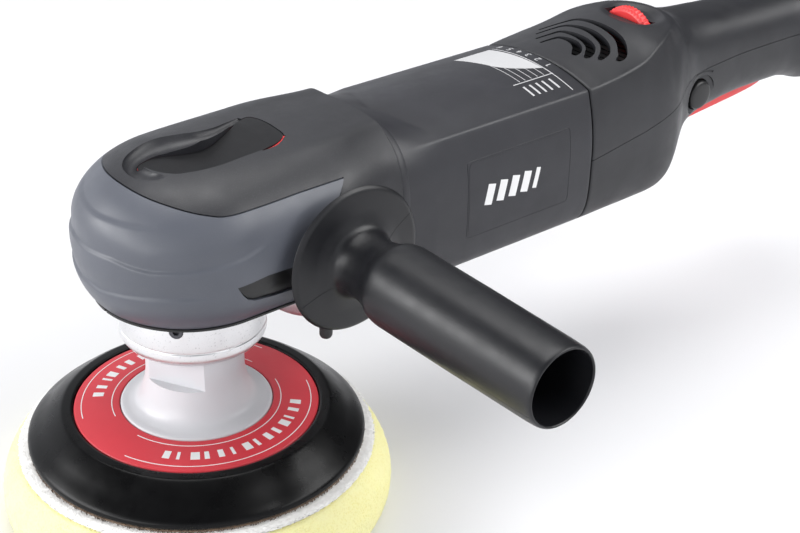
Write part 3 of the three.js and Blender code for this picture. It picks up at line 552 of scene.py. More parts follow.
def foam(name):
    """Open-cell foam: two sizes of pore, with painted shade darkening the inside of the larger pores."""
    surface = Surface(name, (0.84, 0.80, 0.40), 0.9)
    pores = surface.cells(1.1)
    # painted shade: the pits of the larger pores are tinted a darker yellow
    surface.tint(surface.ramp(pores, 0.55, 0.15, 0, 0.45), (0.74, 0.66, 0.22))
    surface.tint(surface.ramp(surface.noise(18, 3), 0.4, 0.7, 0, 0.6), (0.86, 0.83, 0.48))
    surface.bump(pores, 0.25)
    surface.bump(surface.cells(0.5), 0.10)
    surface.shader.inputs["Subsurface Weight"].default_value = 0.12
    surface.shader.inputs["Subsurface Radius"].default_value = (0.004, 0.003, 0.001)
    return surface.finish()


make_camera()
make_studio()
GRAINED_BLACK = plastic("grained_black_plastic", (0.0135, 0.0138, 0.017), 0.46, 0.5, 0.06, speck=2.6)
SHELL_BLACK = plastic("shell_black_plastic", (0.0115, 0.0118, 0.0145), 0.44, 0.36, 0.03)
TONGUE_BLACK = plastic("tongue_black_plastic", (0.004, 0.004, 0.005), 0.46, 0.34, 0.02, specular=0.26)
BODY_GREY = plastic("body_grey_plastic", (0.0165, 0.0168, 0.021), 0.43, 0.36, 0.03)
BUMPER_GREY = plastic("bumper_grey_rubber", (0.082, 0.088, 0.106), 0.42, 0.30, 0.010, lift=1.12, speck=1.25)
SATIN_BLACK = plastic("satin_black_plastic", (0.006, 0.006, 0.0065), 0.38, 0.5, 0.010)
GRIP_BLACK = plastic("grip_black_plastic", (0.007, 0.0072, 0.0088), 0.37, 0.42, 0.032, specular=0.4)
BADGE_GREY = plastic("badge_grey_plastic", (0.0165, 0.0168, 0.021), 0.46, 0.34, 0.010)
CHART_GREY = plastic("chart_grey_ink", (0.50, 0.50, 0.51), 0.5, 0.5, 0.004, lift=1.05, speck=1.05)
PLATE_BLACK = plastic("plate_black_rubber", (0.002, 0.002, 0.0022), 0.30, 1.2, 0.016, specular=0.18)
HUB_GREY = plastic("hub_light_plastic", (0.60, 0.60, 0.62), 0.36, 0.7, 0.006, lift=1.04, speck=1.03)
RING_RED = plastic("ring_red_plastic", (0.60, 0.035, 0.050), 0.42, 0.6, 0.006, lift=1.08, speck=1.08)
TRIGGER_RED = plastic("trigger_red_plastic", (0.72, 0.040, 0.042), 0.36, 0.5, 0.006, lift=1.06, speck=1.06)
PRINT_WHITE = plastic("print_white_ink", (0.78, 0.78, 0.78), 0.5, 0.5, 0.004, lift=1.05, speck=1.05)
COLLAR_METAL = metal("collar_aluminium", (0.80, 0.80, 0.81), 0.36, turned=(1, 1, 14), speck=0.25)
CAST_METAL = metal("cast_aluminium", (0.66, 0.66, 0.68), 0.45, speck=0.2)
STEEL = metal("machined_steel", (0.56, 0.57, 0.60), 0.28, turned=(1, 1, 10))
DARK_STEEL = metal("blackened_steel", (0.10, 0.10, 0.11), 0.38)
COPPER = metal("enamelled_copper", (0.72, 0.36, 0.20), 0.35, turned=(8, 1, 1))
BRASS = metal("brass", (0.75, 0.58, 0.28), 0.33)
BOARD = plastic("circuit_board", (0.02, 0.16, 0.08), 0.4, 0.8, 0.01)
CARBON = plastic("carbon_block", (0.03, 0.03, 0.03), 0.6, 0.4, 0.02)
LOOP_WHITE = fibre("loop_white_cloth", (0.92, 0.91, 0.89), (0.82, 0.81, 0.78), 0.9, 0.16)
HOOK_BROWN = fibre("hook_brown_bristle", (0.20, 0.13, 0.08), (0.10, 0.07, 0.05), 0.5, 0.15)
FOAM_YELLOW = foam("yellow_foam")


# ---------------------------------------------------------------- head: a U in plan that rolls over into a crowned top
HEAD_RADIUS, HEAD_REAR_HALF, HEAD_REAR = 50.0, 42.5, 84.0
HEAD_MIDDLE, LOW_REACH, FRONT_REACH, TOP_REACH = 131.0, 36.0, 36.0, 37.0
FRONT_POWER, SIDE_POWER = 2.6, 2.9
SHOULDER = 1.2
COVER_WALL = 2.8
AXIS_Z = 126.0
BOSS_RADIUS = 25.0
SEAL_SHARE = 0.843  # seal strip's radius, as a share of the head's


def head_half(x):
    return mix(HEAD_RADIUS, HEAD_REAR_HALF, ease((x - 48) / 36))


def head_rise(x, q, side, trim=0.0):
    """Height of the head above or below its middle for share q of its half width."""
    t = ease((x + 40) / 60)
    power = FRONT_POWER if side < 0 else mix(FRONT_POWER, SIDE_POWER, t)
    reach = LOW_REACH if side < 0 else mix(FRONT_REACH, TOP_REACH, t)
    shoulder = 0.0 if side < 0 else SHOULDER * ease((x - 5) / 60) * np.exp(-(((q - 0.56) / 0.15) ** 2))
    return np.maximum(0, reach - trim) * np.maximum(0, 1 - q**power) ** (1 / power) + shoulder


def head_top(x, y):
    """Height of the head's upper surface over a point in plan."""
    x, y = np.asarray(x, float), np.asarray(y, float)
    q = np.where(x < 0, np.hypot(x, y) / HEAD_RADIUS, np.abs(y) / head_half(x))
    source = np.where(x < 0, np.where(q > 0, x / np.maximum(q, 1e-6), 0), x)
    return HEAD_MIDDLE + head_rise(source, q, 1)


def head_solid(name, inset, bottom, rear=HEAD_REAR, fine=True, relief=None):
    front, sides, low_levels, side_levels, top_levels = (60, 62, 50, 60, 44) if fine else (26, 16, 10, 12, 14)
    outline = []
    for i in range(front):
        angle = (i + 0.12) / (front + 0.12) * math.pi / 2
        outline.append((-HEAD_RADIUS * math.cos(angle), HEAD_RADIUS * math.sin(angle), 0.0))
    for x in np.linspace(0, rear - 1.1, sides):
        outline.append((x, head_half(x), 0.0))
    outline.append((rear, head_half(rear), 1.1 if fine else 0.0))
    climb = np.linspace(0, 0.82, side_levels)
    levels = [(-1, (1 - f**2.6) ** (1 / 2.6)) for f in np.linspace(0.74, 0, low_levels)]
    levels += [(1, (1 - f**2.6) ** (1 / 2.6)) for f in climb[1:]]
    levels += [(1, q) for q in levels[-1][1] * np.cos(np.linspace(0, 0.998, top_levels)[1:] * math.pi / 2)]
    rings = []
    for side, q in levels:
        half = []
        for x, y, edge in outline:
            rise = head_rise(x, q, side, inset + edge)
            shrink = (math.hypot(x, y) - inset) / math.hypot(x, y) if x < 0 else 1
            px = x * q * shrink if x < 0 else x
            py = (y * shrink if x < 0 else y - inset - edge) * q
            half.append((px, py, HEAD_MIDDLE + side * rise))
        rings.append(both_sides(half))
    rings = np.array(rings)
    if relief is not None:
        rings = relief(rings)
    obj = strip_loft(name, rings)
    return combine(obj, box("below", (-90, -90, 0), (120, 90, bottom)))


def strip_loft(name, rings):
    """Closed solid of mirror-symmetric rings, its ends closed by strips between facing points."""
    rings = np.asarray(rings, float)
    rows, columns = rings.shape[:2]
    faces = quads(rows, columns)
    for start in (0, (rows - 1) * columns):
        for j in range(columns // 2 - 1):
            faces.append((start + j, start + j + 1, start + columns - 2 - j, start + columns - 1 - j))
    return make(name, rings.reshape(-1, 3), faces)


SEAM = [(-60, 163.3), (-34, 163), (-30, 161.3), (-24, 159.6), (-20, 158.5), (-14.6, 157.3), (-9, 156.4), (2, 156.5),
        (27, 157), (49, 157.3), (50, 157)]
SEAM_REAR = [(42.5, 149.5), (47, 122), (58, 90)]
TONGUE_PLAN = spline([
    (41.3, -11.9), (34.5, -16), (26.7, -17.1), (15.1, -17.8), (5.5, -18.3), (-2, -17.4), (-7.8, -15.1),
    (-12.8, -12.4),
    (-17, -6.8), (-18.9, -0.7), (-19.5, 4.5), (-17.7, 9), (-12.8, 11.4), (-5.8, 10.8), (3.5, 6), (11.7, 3.3),
    (20.6, 5),
    (35.5, 11.6), (40.1, 12.2), (41.9, 9.5), (42.9, 3.5), (42.7, -4.1),
], 160, closed=True)
TROUGH_PLAN = spline([
    (40, 12.6), (34.9, 14.6), (14.3, 12.2), (4.9, 15.6), (-4.4, 19), (-12.4, 19), (-20.4, 13.1), (-23.5, 9.5),
    (-25.9, 3.2), (-26.6, -3.3), (-24.2, -10.8), (-16, -16.6), (-8, -16), (0, -12), (20, -8),
], 150, closed=True)
NEAR_SLOT = [(26, -17.1), (34.3, -15.6), (41, -11.6), (42.3, -12.4), (38.8, -15.1), (35, -17.3), (30.6, -18.3),
             (26.4, -18.4)]


def grown(outline, by):
    """Outline moved outwards by a distance."""
    p = np.asarray(outline, float)
    tangent = np.roll(p, -1, 0) - np.roll(p, 1, 0)
    normal = np.stack([tangent[:, 1], -tangent[:, 0]], 1) / np.linalg.norm(tangent, axis=1)[:, None]
    area = np.sum(p[:, 0] * np.roll(p[:, 1], -1) - np.roll(p[:, 0], -1) * p[:, 1])
    return p + normal * by * np.sign(area)


def trough_sweep(count=120):
    """Path and radii of the cutter that makes the finger trough: its near line, far line and depth."""
    near = spline([(-17.9, -10.2), (-19.8, -6.6), (-20.4, -3), (-20, 3.4), (-18, 9), (-12.8, 12), (-5.8, 11.4),
                   (3.5, 6.8), (11.7, 4.4), (20.6, 6), (28, 9), (36, 12.3)], count)
    far = spline([(-19.2, -12.4), (-23.4, -9.6), (-26.2, -5.4), (-26.6, 1.5), (-24, 9), (-18.6, 15), (-9, 19.2),
                  (2.6, 16.4), (12.4, 12.8), (21, 12), (29, 13.2), (37.4, 14.4)], count)
    path = (near + far) / 2
    half = np.linalg.norm(far - near, axis=1) / 2 + 0.15
    depth = np.interp(np.linspace(0, 1, count), [0, 0.1, 0.25, 0.5, 0.75, 1], [0.3, 2.2, 4.2, 4.6, 3.4, 1.0])
    radius = (half**2 + depth**2) / (2 * depth)
    height = head_top(path[:, 0], path[:, 1]) + radius - depth
    return np.column_stack([path, height]), radius


# Moulded lines round the bumper: angle from the front in degrees and height, from the front to each side.
RELIEF_LINES = [
    [(0, 153.1), (12, 153.5), (32, 153.9), (39, 154.7), (43, 156.8)],
    [(0, 138.8), (18, 139.5), (30, 138), (39, 137.3), (58, 138), (69, 138.8), (84, 140.4), (94, 143.1),
     (98, 145.4)],
    [(0, 122.6), (9, 121.9), (20, 123.3), (33, 124.5), (52, 125.3), (69, 125.5)],
]
RELIEF_DEPTH, RELIEF_SPAN = 0.95, 3.0
RELIEF_HOLLOW, RELIEF_LEDGE = 1.8, 0.3  # how far a line's mark reaches up and down, in spans
RELIEF_FADE = 16  # degrees over which a line dies away


def bumper_relief(rings):
    """Steps moulded into the bumper: each line is a ledge that faces up, with a shallow hollow above it."""
    x, y, z = rings[..., 0], rings[..., 1], rings[..., 2]
    around = np.abs(np.degrees(np.arctan2(-y, -x)))
    depth = np.zeros_like(x)
    for line in RELIEF_LINES:
        angles, heights = np.array(line).T
        t = (z - np.interp(around, angles, heights)) / RELIEF_SPAN
        fade = ease((angles[-1] + 2 - around) / RELIEF_FADE)
        mark = np.where(t > 0, np.exp(-((t / RELIEF_HOLLOW) ** 2)), np.exp(-((t / RELIEF_LEDGE) ** 2)))
        depth += RELIEF_DEPTH * fade * mark
    length = np.hypot(x, y)
    out = rings.copy()
    out[..., 0] -= np.where(x < 20, x / length * depth, 0)
    out[..., 1] -= y / length * depth
    return out


def seam_zone(name, shift, upper):
    curve = spline(SEAM[1:-2], 60)
    line = [(x + shift * 0.5, z + shift) for x, z in [SEAM[0], *curve, SEAM[-1]]]
    line += [(x + shift * 1.6, z) for x, z in SEAM_REAR]
    ends = [(120, 90), (120, 210), (-60, 210)] if upper else [(-60, 90)]
    return prism(name, line + ends, -80, 80, "y")


def boss_hole():
    return plug("boss_hole", BOSS_RADIUS + GAP, -70, 70, (GRIP_AXIS[0], AXIS_Z), "y", 96)


def build_head():
    inner = head_solid("inner", COVER_WALL, HEAD_BOTTOM - 10, HEAD_REAR + 3, fine=False)
    vent = [(-8.6, 127), (-6, 123.6), (-3.4, 120.6), (0, 119), (10, 117.8), (22, 117), (21, 128), (6, 128.4)]

    bumper = head_solid("bumper_skin", 0, HEAD_BOTTOM, relief=bumper_relief)
    combine(bumper, inner, keep=True)
    trim_to(bumper, seam_zone("low_zone", 0, False))
    combine(bumper, boss_hole())
    for level in (-70, 40):
        combine(bumper, prism("vent_way", grown(vent, 0.5), level, level + 30, "y"))
    notch = [(-47.6, -13, 120.6), (-46.6, -15.8, 119.4), (-44.8, -19.6, 118.2), (-44.6, -20.4, 113),
             (-44.2, -20.6, 107)]
    combine(bumper, rod("notch", np.array(notch) * (1.015, 1.015, 1), 0.5, 8))
    piece(bumper, BUMPER_GREY, replaces=["head_bumper"], angle=38)

    cover = head_solid("cover_skin", 0, HEAD_BOTTOM)
    combine(cover, inner)
    trim_to(cover, seam_zone("high_zone", 0.5, True))
    combine(cover, boss_hole())
    combine(cover, box("belly_way", (10, -60, 60), (120, 60, HEAD_BOTTOM + 5.6)))
    bed = head_solid("trough_bed", 0.2, 150, fine=False)
    trim_to(bed, prism("bed_plan", grown(TROUGH_PLAN, 0.5), 150, 180))
    trim_to(bed, prism("bed_side", [(-29, 157.4), (10, 157.4), (45, 161.8), (45, 180), (-29, 180)], -30, 30, "y"))
    combine(cover, bed, "UNION")
    combine(cover, rod("trough_channel", *trough_sweep(), 56))
    combine(cover, prism("window", grown(TONGUE_PLAN, 0.5), 140, 180))
    combine(cover, prism("near_slot", NEAR_SLOT, 150, 180))
    piece(cover, GRAINED_BLACK, replaces=["head_cover"])

    tongue = head_solid("tongue_skin", 0.1, 150)
    side = [(-24, 160.4), (-24, 161.7), (-14, 161.9), (0, 162.6), (12, 164), (22, 166), (32, 167.6),
            (38, 168.2), (46, 168.4),
            (46, 163.8), (38, 163.4), (20, 160.9), (0, 160.5), (-12, 160.4)]
    trim_to(tongue, prism("tongue_side", spline(side, 120, closed=True), -30, 30, "y"))
    trim_to(tongue, prism("tongue_plan", TONGUE_PLAN, 140, 180))
    piece(tongue, TONGUE_BLACK, "lock_tongue", replaces=["lock_tongue"])
    liner = prism("tongue_liner", [(-21, 160.8), (-21, 161.5), (0, 162.1), (14, 163.4), (24, 165.2),
                                   (28, 166.4), (42, 167.5),
                                   (42, 164.2), (20, 161.5)], -30, 30, "y")
    liner_plan = prism("liner_plan", grown(TONGUE_PLAN, 0.12), 140, 180)
    combine(liner_plan, prism("slot_plan", grown(NEAR_SLOT, -0.3), 140, 180), "UNION")
    trim_to(liner, liner_plan)
    piece(liner, TRIGGER_RED, "lock_tongue")

    for name, sign in (("right", -1), ("left", 1)):
        insert = head_solid("vent_skin", 0.9, HEAD_BOTTOM, fine=False)
        combine(insert, head_solid("vent_back", COVER_WALL - 0.2, HEAD_BOTTOM - 5, HEAD_REAR + 3, fine=False))
        low, high = (-70, 0) if sign < 0 else (0, 70)
        trim_to(insert, prism("vent_plan", vent, low, high, "y"))
        combine(insert, boss_hole())
        insert.name = f"vent_insert_{name}_moulding"
        piece(insert, SATIN_BLACK, replaces=[f"vent_insert_{name}"])

    rim = []
    for inset, z in ((0.2, -1.9), (-0.4, -1.5), (-0.4, -0.6), (0.0, -0.3), (9.5, -0.3), (9.5, -1.9)):
        half = []
        for angle in np.linspace(1, 90, 50):
            a = math.radians(angle)
            r = HEAD_RADIUS * SEAL_SHARE - inset
            half.append((-r * math.cos(a), r * math.sin(a), HEAD_BOTTOM + z))
        half.append((27, HEAD_RADIUS * SEAL_SHARE - inset, HEAD_BOTTOM + z))
        rim.append(both_sides(half))
    rim = np.array(rim)
    seal = make("seal_strip", rim.reshape(-1, 3), quads(6, rim.shape[1], wrap_rows=True, wrap_columns=False) + [
        tuple(i * rim.shape[1] for i in range(6)), tuple(i * rim.shape[1] + rim.shape[1] - 1 for i in range(6)),
    ])
    piece(seal, SATIN_BLACK, replaces=["head_seal"])


def build_belly():
    """Cast underside of the gear housing, between the collar and the motor housing."""
    rings = []
    stations = [(22, 20, 101), (23.5, 25, 98), (26, 29.6, 94.6), (29, 33, 91), (33, 35.6, 87.6),
                (38, 37.2, 84.6), (45, 38, 83),
                (60, 38.2, 82.6), (84.2, 38.2, 82.6)]
    for x in np.concatenate([np.linspace(22, 41, 34), np.linspace(42, 84.2, 30)]):
        half, low = float(along(stations, x, 1)), float(along(stations, x, 2))
        turn = np.linspace(0.006, math.pi / 2, 30)
        line = [(x, half * math.sin(t) ** (2 / 3.3), 105 - (105 - low) * math.cos(t) ** (2 / 3.3)) for t in turn]
        line += [(x, half - 0.4, 106.5), (x, half - 0.8, 108.6), (x, half * 0.5, 108.8), (x, 0.3, 108.8)]
        rings.append(both_sides(line))
    belly = strip_loft("belly_casting", rings)
    combine(belly, plug("collar_way", 33, 70, 112, (0, 0), "z", 96))
    piece(belly, CAST_METAL)
    peg = lathe("locating_peg", rounded([
        (0, 88.2), (2.2, 88.2, 0.7), (2.9, 89.6, 0.4), (2.9, 97, 0.3), (3.4, 98, 0.3), (3.4, 104), (0, 104),
    ]), (35.5, -49.6), "z", 36)
    piece(peg, SATIN_BLACK)


# ---------------------------------------------------------------- motor housing
MOTOR_CROWN, MOTOR_HALF, MOTOR_WIDEST_Z, MOTOR_BOTTOM = 161.8, 41.4, 123.0, 81.6
CREASE_Y, CREASE_Z = 35.6, 155.7


def body_half(crown, crease, half, widest_z, bottom, power, blend=0.0, inset=0.0, counts=(14, 22, 26)):
    """Half section of a housing: arched top, crease, leaning side and rounded underside."""
    yc, zc = crease
    a = np.linspace(0.012, 0.97, counts[0])
    arch = np.stack([yc * a, crown - (crown - zc) * a * a], 1)
    b = np.linspace(0.03, 1, counts[1])
    plain = np.stack([half - (half - yc) * (1 - b) ** 2, zc - (zc - widest_z) * b], 1)
    turn = b * math.pi / 2
    round_ = np.stack([
        yc + (half - yc) * np.sin(turn) ** 0.72, widest_z + (zc - widest_z) * np.cos(turn) ** 0.72,
    ], 1)
    side = mix(plain, round_, blend)
    corner = bezier(arch[-1], (yc, zc), side[0], 5)[1:-1]
    turn = np.linspace(0, math.pi / 2, counts[2])[1:] * 0.992
    low = np.stack([
        half * np.cos(turn) ** (2 / power), widest_z - (widest_z - bottom) * np.sin(turn) ** (2 / power),
    ], 1)
    line = np.vstack([arch, corner, side, low])
    if inset:
        centre = np.array([0.0, widest_z])
        away = line - centre
        line = centre + away * (1 - inset / np.linalg.norm(away, axis=1))[:, None]
    return line


def mirrored(x, line):
    """Whole ring of a half section; x is one number or one per point."""
    x = np.broadcast_to(x, (len(line),))
    half = np.stack([x, line[:, 0], line[:, 1]], 1)
    other = half[::-1] * (1, -1, 1)
    return np.vstack([half, other])


def motor_top(y):
    return MOTOR_CROWN - (MOTOR_CROWN - CREASE_Z) * (y / CREASE_Y) ** 2


def motor_side(z):
    b = np.clip((CREASE_Z - z) / (CREASE_Z - MOTOR_WIDEST_Z), 0, 1)
    upper = MOTOR_HALF - (MOTOR_HALF - CREASE_Y) * (1 - b) ** 2
    s = np.clip((MOTOR_WIDEST_Z - z) / (MOTOR_WIDEST_Z - MOTOR_BOTTOM), 0, 1)
    lower = MOTOR_HALF * (1 - s**4.4) ** (1 / 4.4)
    return np.where(z > MOTOR_WIDEST_Z, upper, lower)


def build_motor_housing():
    base = body_half(MOTOR_CROWN, (CREASE_Y, CREASE_Z), MOTOR_HALF, MOTOR_WIDEST_Z, MOTOR_BOTTOM, 4.4)
    centre = np.array([0.0, 124.2])
    away = base - centre

    def hoop(a, b, power):
        scale = (np.abs(away[:, 0] / a) ** power + np.abs(away[:, 1] / b) ** power) ** (-1 / power)
        return centre + away * scale[:, None]

    band, ring = hoop(41.0, 41.0, 3.0), hoop(40.6, 40.4, 3.0)
    y, z = base[:, 0], base[:, 1]
    top_x = np.interp(y, [0, 17.6, 25, 31, CREASE_Y], [97, 102, 105.5, 108, 110])
    side_x = np.interp(z, [81, 114, 129, 146, CREASE_Z], [104, 104, 104.5, 106.7, 110])
    reach_x = np.where((z < CREASE_Z - 0.3), side_x, top_x)
    shrink = lambda line, by: centre + (line - centre) * (1 - by / 40)
    rings = [mirrored(84.6, shrink(band, 0.6)), mirrored(84.8, shrink(band, 0.15)), mirrored(85.2, band)]
    rings += [mirrored(x, band) for x in (86.5, 88.2)]
    rings += [mirrored(88.6, shrink(band, 0.2)), mirrored(88.8, ring)]
    for t in np.linspace(0, 1, 12):
        rings.append(mirrored(89 + t * (reach_x - 89), mix(ring, base, t)))
    for t in np.linspace(0, 1, 70)[1:]:
        rings.append(mirrored(reach_x + t * (SEAM_X - 0.9 - reach_x), base))
    rings += [mirrored(SEAM_X - 0.35, shrink(base, 0.1)), mirrored(SEAM_X, shrink(base, 0.5))]
    shell = strip_loft("motor_barrel", rings)
    for z0, z1, radius in ((80, 101.5, 33.0), (101, 220, 34.0)):
        combine(shell, plug("bore", radius, z0, z1, (0, AXIS_Z), "x", 72))
    for sy in (-27, 27):
        for sz in (-27, 27):
            combine(shell, plug("screw_way", 2.3, 80, 99, (sy, AXIS_Z + sz), "x", 20))
    low, high = place("badge_right")
    outline = badge_outline(low[0], high[0], low[2], high[2], 1.8)
    for sign in (-1, 1):
        edge = np.array([(x, sign * (motor_side(z) + 0.05), z) for x, z in outline])
        combine(shell, rod("badge_line", edge, 0.22, 8, closed=True))
    piece(shell, BODY_GREY, replaces=["motor_housing"])


def badge_outline(x0, x1, z0, z1, radius, count=200):
    corners = []
    for cx, cz, start in ((x1, z1, 0), (x0, z1, 90), (x0, z0, 180), (x1, z0, 270)):
        for angle in np.linspace(start, start + 90, 8):
            a = math.radians(angle)
            sx, sz = (radius if cx == x0 else -radius), (radius if cz == z0 else -radius)
            corners.append((cx + sx + radius * math.cos(a), cz + sz + radius * math.sin(a)))
    p = np.array(corners + corners[:1])
    length = distances(p)
    return resample(p, length, np.linspace(0, length[-1], count, endpoint=False))


# ---------------------------------------------------------------- rear shells
# Columns: x, half width, height of the widest line, bottom, crown, crease half width, crease height
REAR = [
    (198, 41.4, 123, 81.6, 161.8, 35.4, 155.4), (202, 41.4, 123, 81.6, 161.8, 35.6, 155.7),
    (212, 41.3, 123.2, 81.6, 162.8, 36.2, 156.6), (222, 41, 123.5, 81.6, 164, 36.2, 157.6),
    (232, 40.8, 124, 81.5, 165.6, 35.6, 158.8), (242, 40.5, 124.2, 81.4, 167.3, 34.6, 160.6),
    (254, 40, 124.6, 81.4, 169.2, 31.4, 164.6), (262, 38.7, 125.1, 82, 169.9, 28.4, 166.3),
    (268, 36.8, 126, 83.8, 170.1, 25, 167.4), (273, 34.2, 127, 88, 170, 21.5, 168.2),
    (278.5, 30.8, 128.6, 93.4, 169.8, 14.5, 168.7), (281.5, 29.2, 129.6, 96.8, 169.5, 7, 168.9),
    (284, 28, 130.4, 99.6, 168.6, 0.6, 168.58), (288, 26.4, 131.6, 102.4, 166.6, 0.3, 166.58),
    (293, 24.8, 132.6, 104.6, 164.6, 0.3, 164.58), (300, 23.5, 133.4, 106.6, 163, 0.3, 162.98),
    (320, 22, 134, 109.2, 161, 0.3, 160.98), (345, 21.2, 134, 110.2, 159.4, 0.3, 159.38),
    (374, 21.6, 133.6, 110, 159, 0.3, 158.98), (388, 23.2, 132.2, 107.4, 159, 0.3, 158.98),
    (399, 25.5, 130.5, 104.2, 158.6, 0.3, 158.58), (404, 25.2, 130.5, 104.6, 158.2, 0.3, 158.18),
]


def rear_half(x, inset=0.0, counts=(14, 22, 26)):
    half, widest, bottom, crown, yc, zc = (float(along(REAR, x, k)) for k in range(1, 7))
    zc = min(zc, crown - 0.01)
    blend = float(ease((x - 262) / 22))
    power = float(np.interp(x, [202, 262, 276, 288, 310, 345, 400], [4.4, 4.4, 4.2, 3.6, 3, 2.6, 2.5]))
    return body_half(crown, (yc, zc), half, widest, bottom, power, blend, inset, counts)


def dial_dish(rings):
    """Shallow dish round the speed dial."""
    rho = np.hypot((rings[..., 0] - 268) / 14.5, rings[..., 1] / 18.5)
    out = rings.copy()
    out[..., 2] -= np.where(rings[..., 2] > 150, 2.6 * ease((1 - rho) / 0.42), 0)
    return out


SPLIT = [(190, 119), (240, 125.5), (262, 130), (278, 134), (292, 137), (330, 138.5), (420, 138.5)]
VENTS = [
    [(213.5, 10.1), (220, 8.6), (223.4, 6.4), (224.2, -1.1), (221.8, -7.1), (218, -10.3), (214.9, -11.4)],
    [(216.2, 16), (224, 13.8), (229, 10.8), (229.6, -1.2), (227, -10.8), (221.7, -15.5), (217.7, -16.9)],
    [(221.2, 21.2), (230, 18.4), (235.6, 14.1), (237.2, 1), (234.2, -12.5), (229.1, -19.1), (222.2, -21.9)],
    [(226.6, 24.8), (237, 20.4), (243.7, 14.6), (244.6, -0.4), (242, -15.7), (234.6, -25.6), (229.1, -27.2)],
]


def vent_outline(points):
    line = spline(points, 44)
    normal = left_normals(line)
    t = np.linspace(0, 1, 44)[:, None]
    half = 0.55 + 1.75 * ease(t * 1.15) * np.sqrt(np.clip((1 - t) / 0.12, 0, 1)) + 0.15
    return np.vstack([line + normal * half, (line - normal * half)[::-1]])


def split_zone(shift):
    return prism("split_zone", [(190, 60)] + [(x, z + shift) for x, z in SPLIT] + [(420, 60)], -60, 60, "y")


def build_rear():
    start = place("rear_shell_upper")[0][0]
    xs = [start, start + 0.25, start + 0.7]
    xs += list(np.linspace(start + 1.5, 262, 60)) + list(np.linspace(263, 290, 62)) + list(np.linspace(291,
            HANDLE_END - 2.2, 80))
    xs += [HANDLE_END - 1.2, HANDLE_END - 0.5, HANDLE_END - 0.12, HANDLE_END]
    tails = {start: 0.6, start + 0.25: 0.2, HANDLE_END - 1.2: 0.25, HANDLE_END - 0.5: 0.8,
             HANDLE_END - 0.12: 1.5, HANDLE_END: 2.2}
    outer = strip_loft("rear_skin", dial_dish(np.array([mirrored(x, rear_half(x, tails.get(x, 0))) for x in xs])))
    inner_xs = [start - 4] + list(np.linspace(start + 6, HANDLE_END - 3.2, 60))
    inner = strip_loft("rear_room", [mirrored(x, rear_half(x, 3.0, (8, 10, 12))) for x in inner_xs])
    combine(outer, inner)
    dial_x = DIAL_AXIS[0]
    gland = plug("gland_way", 7.3, 396, 420, (0, middle("cord_gland")[2]), "x", 40)
    recess = prism("button_recess", oval((BUTTON_AXIS[0], BUTTON_AXIS[2]), 12.4, 10.6, 64), -60, -22.0, "y")
    well = plug("button_well", 8.5, -60, -10, (BUTTON_AXIS[0], BUTTON_AXIS[2]), "y", 64)
    ledge = rod("button_notch", spline([(290, -25.7, 134), (296, -24.5, 136.4), (303, -23.5, 136.7),
                                        (309, -23.1, 134.6)], 30),
                0.9, 10)
    slot = box("trigger_way", (place("trigger")[0][0] - 0.8, -8.1, 90), (374.6, 8.1, 124))
    upper = copy(outer, "rear_upper_shell")
    combine(upper, split_zone(GAP / 2))
    for points in VENTS:
        combine(upper, prism("vent_slot", vent_outline(points), 148, 190))
    combine(upper, box("dial_way", (dial_x - DIAL_WIDTH / 2 - 0.8, -14.4, 150),
                       (dial_x + DIAL_WIDTH / 2 + 0.8, 14.4, 190)))
    lower = outer
    lower.name = "rear_lower_shell"
    trim_to(lower, split_zone(-GAP / 2))
    for shell in (upper, lower):
        for cutter in (gland, recess, well, ledge):
            combine(shell, cutter, keep=True)
    combine(lower, slot)
    for cutter in (gland, recess, well, ledge):
        bpy.data.objects.remove(cutter)
    piece(upper, SHELL_BLACK, replaces=["rear_shell_upper"])
    screen = prism("vent_screen", badge_outline(207, 258.5, -31, 31, 5, 80), 156.4, 157.6)
    for x in np.arange(212, 256, 4.2):
        combine(screen, prism("screen_slot", oval((x, 0), 0.7, 24, 24, 6.0), 157.1, 159))
    piece(screen, SATIN_BLACK)
    piece(lower, SHELL_BLACK, replaces=["rear_shell_lower"])


KNURL_DEPTH, KNURL_RIDGES = 0.45, 46


